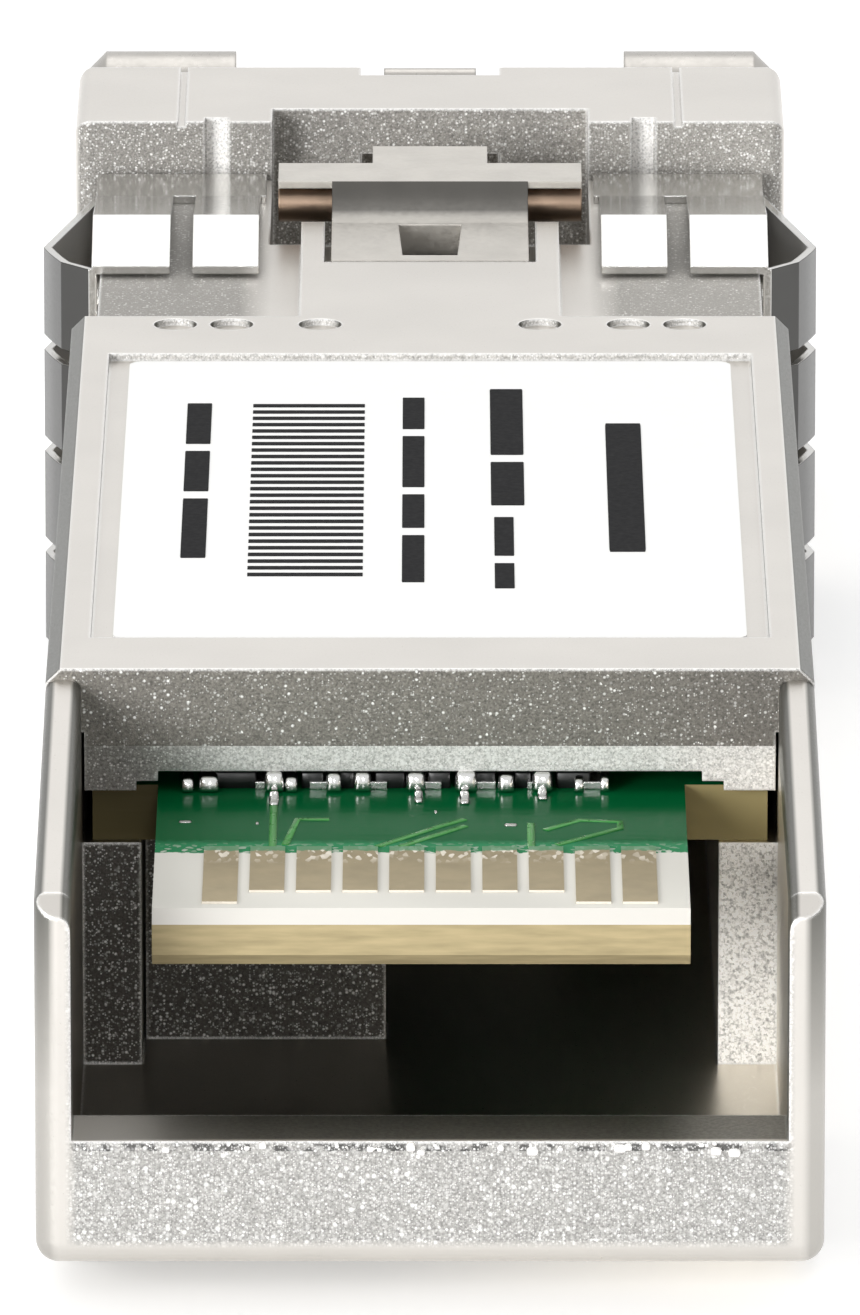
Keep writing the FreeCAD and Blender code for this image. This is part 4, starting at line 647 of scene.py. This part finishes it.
def realise(name, mesh, tree, body, slot, **values):
    """Runs a tree on a mesh of points or lines and leaves its result as a plain mesh that rides on a body."""
    maker = bpy.data.objects.new(name + "_maker", mesh)
    bpy.context.scene.collection.objects.link(maker)
    modifier = maker.modifiers.new("nodes", "NODES")
    modifier.node_group = tree
    for item in tree.interface.items_tree:
        if item.in_out == "INPUT" and item.name in values:
            modifier[item.identifier] = values[item.name]
    bpy.context.view_layer.update()
    result = bpy.data.meshes.new_from_object(maker.evaluated_get(bpy.context.evaluated_depsgraph_get()))
    maker.modifiers.remove(modifier)
    bpy.data.objects.remove(maker)
    if not result.polygons:
        raise RuntimeError(name + " came out empty")
    result.name = name
    piece = bpy.data.objects.new(name, result)
    bpy.context.scene.collection.objects.link(piece)
    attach(piece, body)


def point_mesh(name, rows):
    """A mesh of points, each with its own size: rows of (place, size) in metres."""
    mesh = bpy.data.meshes.new(name)
    mesh.from_pydata([place for place, _ in rows], [], [])
    sizes = mesh.attributes.new("size", "FLOAT_VECTOR", "POINT")
    for item, (_, size) in zip(sizes.data, rows):
        item.vector = size
    return mesh


def block(name, bevel, segments=2, top=1.0):
    """A unit block on its base, drawn in to `top` at its head, with rounded edges, as a shape to be repeated."""
    bm = bmesh.new()
    bmesh.ops.create_cube(bm, size=1.0)
    for vert in bm.verts:
        vert.co.z += 0.5
        if vert.co.z > 0.5:
            vert.co.x *= top
            vert.co.y *= top
    bmesh.ops.bevel(bm, geom=list(bm.edges), offset=bevel, segments=segments, profile=0.5, affect="EDGES")
    mesh = bpy.data.meshes.new(name)
    bm.to_mesh(mesh)
    bm.free()
    for face in mesh.polygons:
        face.use_smooth = segments > 1
    return bpy.data.objects.new(name, mesh)


class TRANSCEIVER_OT_castings(bpy.types.Operator):
    """Finishes the base housing, the top cover and the optics clamp, and raises the burr on the sill"""
    bl_idname = "transceiver.castings"
    bl_label = "Finish Castings"

    def execute(self, context):
        settings = context.scene.transceiver.casting
        dress(nickel_plated_casting(settings), "base_housing", "top_cover", "optics_clamp")
        # Burr of the plated casting, rolled over by tumbling into beads: mirror bright.
        bead = drawn_metal("tumbled_burr", settings.speck, 0.2, 0.1, tarnish=0.03)
        rng = random.Random(11)
        beads = []
        for _ in range(BEAD_COUNT):
            size = settings.burr * (0.35 + 1.6 * rng.random() ** 4)
            beads.append(((rng.uniform(*BEAD_SPAN) * MM, HOST_END, SILL_TOP - size - rng.uniform(0.0, 0.12) * MM),
                          (size * rng.uniform(1.0, 1.5), size, size)))
        shape = block("burr_bead", 0.3, 3)
        realise("sill_burr", point_mesh("bead_places", beads), row_tree(), "housing", "cast_metal",
                Shape=shape, Spread=0.1, Seed=5, Finish=bead)
        bpy.data.objects.remove(shape)
        return {"FINISHED"}


class TRANSCEIVER_OT_board(bpy.types.Operator):
    """Finishes the edge board with its contacts, chips and leads"""
    bl_idname = "transceiver.board"
    bl_label = "Finish Board"

    def execute(self, context):
        settings = context.scene.transceiver.board
        dress(masked_laminate(settings), "circuit_board")
        dress(hard_gold(settings), "upper_contact_pads", "lower_contact_pads")
        # Moulded epoxy with silica filler: near black, faintly grained, dull.
        epoxy = moulded("moulded_black_epoxy", linear("#1A1A1B"), 0.5, 1.55, 0.08)
        dress(epoxy, "interface_chip", "controller_chip", "driver_chip")
        # Hot-dipped tin: bright, slightly wavy.
        tin = drawn_metal("dipped_tin", linear("#D4D4D2"), 0.24, 0.2)
        dress(tin, "interface_chip_leads")
        # Sintered ceramic body of the chip capacitors: dull tan brown.
        dress(moulded("sintered_ceramic", linear("#9A7B57"), 0.55, 1.7, 0.06), "chip_capacitors")
        # Filled silicone sheet: soft blue-grey, matt.
        dress(moulded("filled_silicone_pad", linear("#8FA0AE"), 0.75, 1.41, 0.15), "thermal_pad")
        return {"FINISHED"}


class TRANSCEIVER_OT_optics(bpy.types.Operator):
    """Finishes the two optical units with their flexes"""
    bl_idname = "transceiver.optics"
    bl_label = "Finish Optics"

    def execute(self, context):
        # Turned stainless steel: fine rings round the axis.
        steel = drawn_metal("turned_stainless_steel", linear("#C4C3C0"), 0.26, 0.06, (0.2, 1.0, 0.2))
        dress(steel, "transmit_sleeve", "receive_sleeve")
        # Drawn iron-nickel can, nickel plated: smooth, warm grey.
        can = drawn_metal("drawn_nickel_can", linear("#BDB6AA"), 0.28, 0.12)
        dress(can, "transmit_can", "receive_can", "transmit_header", "receive_header")
        # Polyimide film over rolled copper: clear amber, glossy.
        dress(moulded("polyimide_film", linear("#B4762A"), 0.3, 1.7, 0.3, 0.1), "transmit_flex", "receive_flex")
        return {"FINISHED"}


class TRANSCEIVER_OT_latch(bpy.types.Operator):
    """Finishes the spring collar, the latch and the bail"""
    bl_idname = "transceiver.latch"
    bl_label = "Finish Latch"

    def execute(self, context):
        settings = context.scene.transceiver.latch
        # Rolled stainless spring strip: grey, with the rolling grain along the strip, and a painted shade on the faces
        # turned outward to the sides.
        dress(drawn_metal("rolled_spring_steel", settings.collar, 0.15, 0.05, (1.0, 0.15, 1.0), 0.05,
                          shade_to=0.14, outward=True),
              "emi_collar", "latch_spring")
        # Blanked steel under nickel, edges coined round: pale satin, with a painted shade on faces that slope towards
        # either end, lighter on the faces square to the ends.
        dress(drawn_metal("blanked_nickel_steel", settings.lever, 0.42, 0.12, shade_axis="y", shade_to=0.2,
                          square_to=0.9), "latch_lever")
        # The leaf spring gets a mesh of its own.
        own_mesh(NODES["latch_spring"])
        # Pin stock: brown and cloudy; the brown is a painted dark reflection of the slot under the lever's wings.
        dress(drawn_metal("tarnished_bronze", settings.pin, 0.4, 0.08, tarnish=0.35),
              "lever_cross_pin", "lever_pivot_pin")
        # Zinc die casting of the bail under satin nickel: pale and smooth, with a painted shade on the faces turned up
        # and down.
        dress(drawn_metal("plated_zinc_bail", settings.bail, 0.32, 0.1, edge_mm=0.08, shade_axis="z",
                          shade_to=0.75), "bail_handle", "bail_axle")
        return {"FINISHED"}


class TRANSCEIVER_OT_label(bpy.types.Operator):
    """Finishes the label and prints plain bars and equal stripes on it"""
    bl_idname = "transceiver.label"
    bl_label = "Print Label"

    def execute(self, context):
        settings = context.scene.transceiver.label
        # Coated polyester label stock: white, smooth, half matt.
        dress(moulded("coated_label_stock", settings.paper, 0.42, 1.5, 0.2, 0.06, 0.015), "label")
        # Resin ink from a transfer ribbon: flat black, faintly grained.
        ink = moulded("transfer_ink", settings.ink, 0.7, 1.2, 0.1, 0.1)
        rng = random.Random(7)
        top = LABEL_HIGH.z
        rows = []
        for low, high, start, end, bars in PRINT_COLUMNS:
            shares = [rng.uniform(0.6, 1.4) for _ in range(bars)]
            run = (end - start) - BAR_GAP * (bars - 1)
            here = start
            for share in shares:
                size = run * share / sum(shares)
                rows.append(((((low + high) / 2) * MM, along(here + size / 2), top),
                             ((high - low) * MM, size * MM, settings.film)))
                here += size + BAR_GAP
        here = along(STRIPE_START)
        while here < along(STRIPE_END):
            rows.append(((STRIPE_MIDDLE * MM, here, top), (STRIPE_LONG * MM, settings.pitch * 0.5, settings.film)))
            here += settings.pitch
        shape = block("print_block", 0.02, 1)
        realise("label_print", point_mesh("label_print_places", rows), row_tree(), "housing", "label_paper",
                Shape=shape, Spread=0.0, Seed=1, Finish=ink)
        bpy.data.objects.remove(shape)
        return {"FINISHED"}


class TRANSCEIVER_OT_solder(bpy.types.Operator):
    """Sets the soldered chip parts under the lip and the copper runs under the lacquer"""
    bl_idname = "transceiver.solder"
    bl_label = "Solder Chip Parts"

    def execute(self, context):
        settings = context.scene.transceiver.board
        top = CARD_HIGH.z
        # Reflowed solder: bright, drawn smooth by surface tension.
        solder = drawn_metal("reflowed_solder", linear("#DADAD8"), 0.18, 0.25)
        # Fired glass overglaze of the resistor bodies: black, half glossy.
        glaze = moulded("black_overglaze", linear("#151516"), 0.35, 1.52, 0.1)
        joints, bodies = [], []
        for x, wide, tall in SOLDERED_ENDS:
            joints.append(((x * MM, along(END_ROW), top), (wide * MM, END_LONG * MM, tall * MM)))
        for x, wide, reach in SOLDER_TAILS:
            joints.append(((x * MM, along(TAIL_START - reach / 2), top), (wide * MM, reach * MM, TAIL_TALL * MM)))
        for x, back, wide in TEST_LANDS:
            joints.append(((x * MM, along(back), top), (wide * MM, LAND_LONG * MM, LAND_TALL * MM)))
        for x, wide in RESISTORS:
            bodies.append(((x * MM, along(RESISTOR_ROW), top), (wide * MM, RESISTOR_LONG * MM, RESISTOR_TALL * MM)))
        tree = row_tree()
        lump = block("solder_lump", 0.2, 3, 0.85)
        realise("solder_joints", point_mesh("joint_places", joints), tree, "housing", "tinned_lead",
                Shape=lump, Spread=0.12, Seed=3, Finish=solder)
        brick = block("chip_brick", 0.06, 2)
        realise("chip_resistors", point_mesh("brick_places", bodies), tree, "housing", "chip_black",
                Shape=brick, Spread=0.05, Seed=4, Finish=glaze)
        bpy.data.objects.remove(lump)
        bpy.data.objects.remove(brick)
        verts, edges = [], []
        for run in COPPER_RUNS:
            for index, (x, y) in enumerate(run):
                if index:
                    edges.append((len(verts) - 1, len(verts)))
                verts.append((x * MM, along(y), top))
        mesh = bpy.data.meshes.new("run_lines")
        mesh.from_pydata(verts, edges, [])
        # Copper under clear green lacquer: a paler green, glossy.
        lacquered = moulded("lacquered_copper", settings.trace, 0.3, 1.52, 0.2, 0.1)
        realise("copper_runs", mesh, run_tree(), "housing", "board_green",
                Width=settings.trace_width, Height=RUN_TALL * MM, Finish=lacquered)
        return {"FINISHED"}


class TRANSCEIVER_OT_stage(bpy.types.Operator):
    """Sets the pale floor, the soft studio light and the camera"""
    bl_idname = "transceiver.stage"
    bl_label = "Set Stage"

    def execute(self, context):
        settings = context.scene.transceiver.stage
        scene = context.scene
        bm = bmesh.new()
        bmesh.ops.create_circle(bm, cap_ends=True, segments=64, radius=FLOOR_RADIUS)
        for vert in bm.verts:
            vert.co.z = CAD_LOW.z - FLOOR_DROP
        mesh = bpy.data.meshes.new("studio_floor")
        bm.to_mesh(mesh)
        bm.free()
        floor = bpy.data.objects.new("studio_floor", mesh)
        scene.collection.objects.link(floor)
        # Matt seamless paper: pale, no gloss; the camera and the metal see it lifted to white except in the shadow.
        paper, tree, shader = new_material("seamless_paper")
        lift = add(tree, MATH, {0: background_rays(tree), 1: FLOOR_LIFT}, operation="MULTIPLY")
        feed(tree, shader, {"Base Color": settings.floor, "Roughness": 1.0, "Specular IOR Level": 0.0,
                            "Emission Color": WHITE, "Emission Strength": lift})
        mesh.materials.append(paper)
        for name, place, size, power in LAMPS:
            lamp = bpy.data.lights.new(name, "AREA")
            lamp.size = size
            lamp.energy = getattr(settings, power)
            holder = bpy.data.objects.new(name, lamp)
            holder.location = place
            holder.rotation_euler = (-Vector(place)).to_track_quat("-Z", "Y").to_euler()
            holder.visible_camera = False
            scene.collection.objects.link(holder)
        world = bpy.data.worlds.new("studio")
        scene.world = world
        world.use_nodes = True
        tree = world.node_tree
        tree.nodes.clear()
        # The room is darker on the camera's side; the background itself is white.
        sky = add(tree, "ShaderNodeTexCoord")
        way = add(tree, AXES, {"Vector": sky.outputs["Generated"]})
        room = add(tree, RAMP, {"Value": way.outputs["Y"], "From Min": -0.9, "From Max": 0.2, "To Min": 0.3,
                                "To Max": 0.95})
        shade = add(tree, "ShaderNodeBackground", {"Color": WHITE, "Strength": room})
        white = add(tree, "ShaderNodeBackground", {"Color": WHITE, "Strength": 1.0})
        shown = add(tree, "ShaderNodeMixShader", {0: background_rays(tree), 1: shade, 2: white})
        add(tree, "ShaderNodeOutputWorld", {"Surface": shown})
        view = bpy.data.cameras.new("photo_camera")
        view.lens = settings.lens
        view.sensor_width = SENSOR_WIDTH
        view.clip_start = CLIP_START
        eye = bpy.data.objects.new("photo_camera", view)
        eye.location = CAMERA_PLACE
        eye.rotation_euler = (settings.tilt, 0.0, 0.0)
        scene.collection.objects.link(eye)
        scene.camera = eye
        scene.view_settings.view_transform = "Standard"
        return {"FINISHED"}


class TRANSCEIVER_PT_panel(bpy.types.Panel):
    """Lists the settings and the steps of the transceiver"""
    bl_idname = "TRANSCEIVER_PT_panel"
    bl_label = "Transceiver"
    bl_space_type = "VIEW_3D"
    bl_region_type = "UI"
    bl_category = "Transceiver"

    def draw(self, context):
        settings = context.scene.transceiver
        for group in ("casting", "board", "label", "latch", "stage"):
            box = self.layout.box()
            box.label(text=group.title())
            item = getattr(settings, group)
            for name in type(item).__annotations__:
                box.prop(item, name)
        for operator in OPERATORS:
            self.layout.operator(operator.bl_idname)


SETTINGS = (CastingSettings, BoardSettings, LabelSettings, LatchSettings, StageSettings, TransceiverSettings)
OPERATORS = (TRANSCEIVER_OT_castings, TRANSCEIVER_OT_board, TRANSCEIVER_OT_optics, TRANSCEIVER_OT_latch,
             TRANSCEIVER_OT_label, TRANSCEIVER_OT_solder, TRANSCEIVER_OT_stage)


def register():
    for item in SETTINGS + OPERATORS + (TRANSCEIVER_PT_panel,):
        bpy.utils.register_class(item)
    bpy.types.Scene.transceiver = bpy.props.PointerProperty(name="Transceiver", description="Transceiver settings",
                                                            type=TransceiverSettings)


def unregister():
    del bpy.types.Scene.transceiver
    for item in reversed(SETTINGS + OPERATORS + (TRANSCEIVER_PT_panel,)):
        bpy.utils.unregister_class(item)


def main():
    register()
    bpy.ops.transceiver.castings()
    bpy.ops.transceiver.board()
    bpy.ops.transceiver.optics()
    bpy.ops.transceiver.latch()
    bpy.ops.transceiver.label()
    bpy.ops.transceiver.solder()
    bpy.ops.transceiver.stage()


if __name__ == "__main__":
    main()
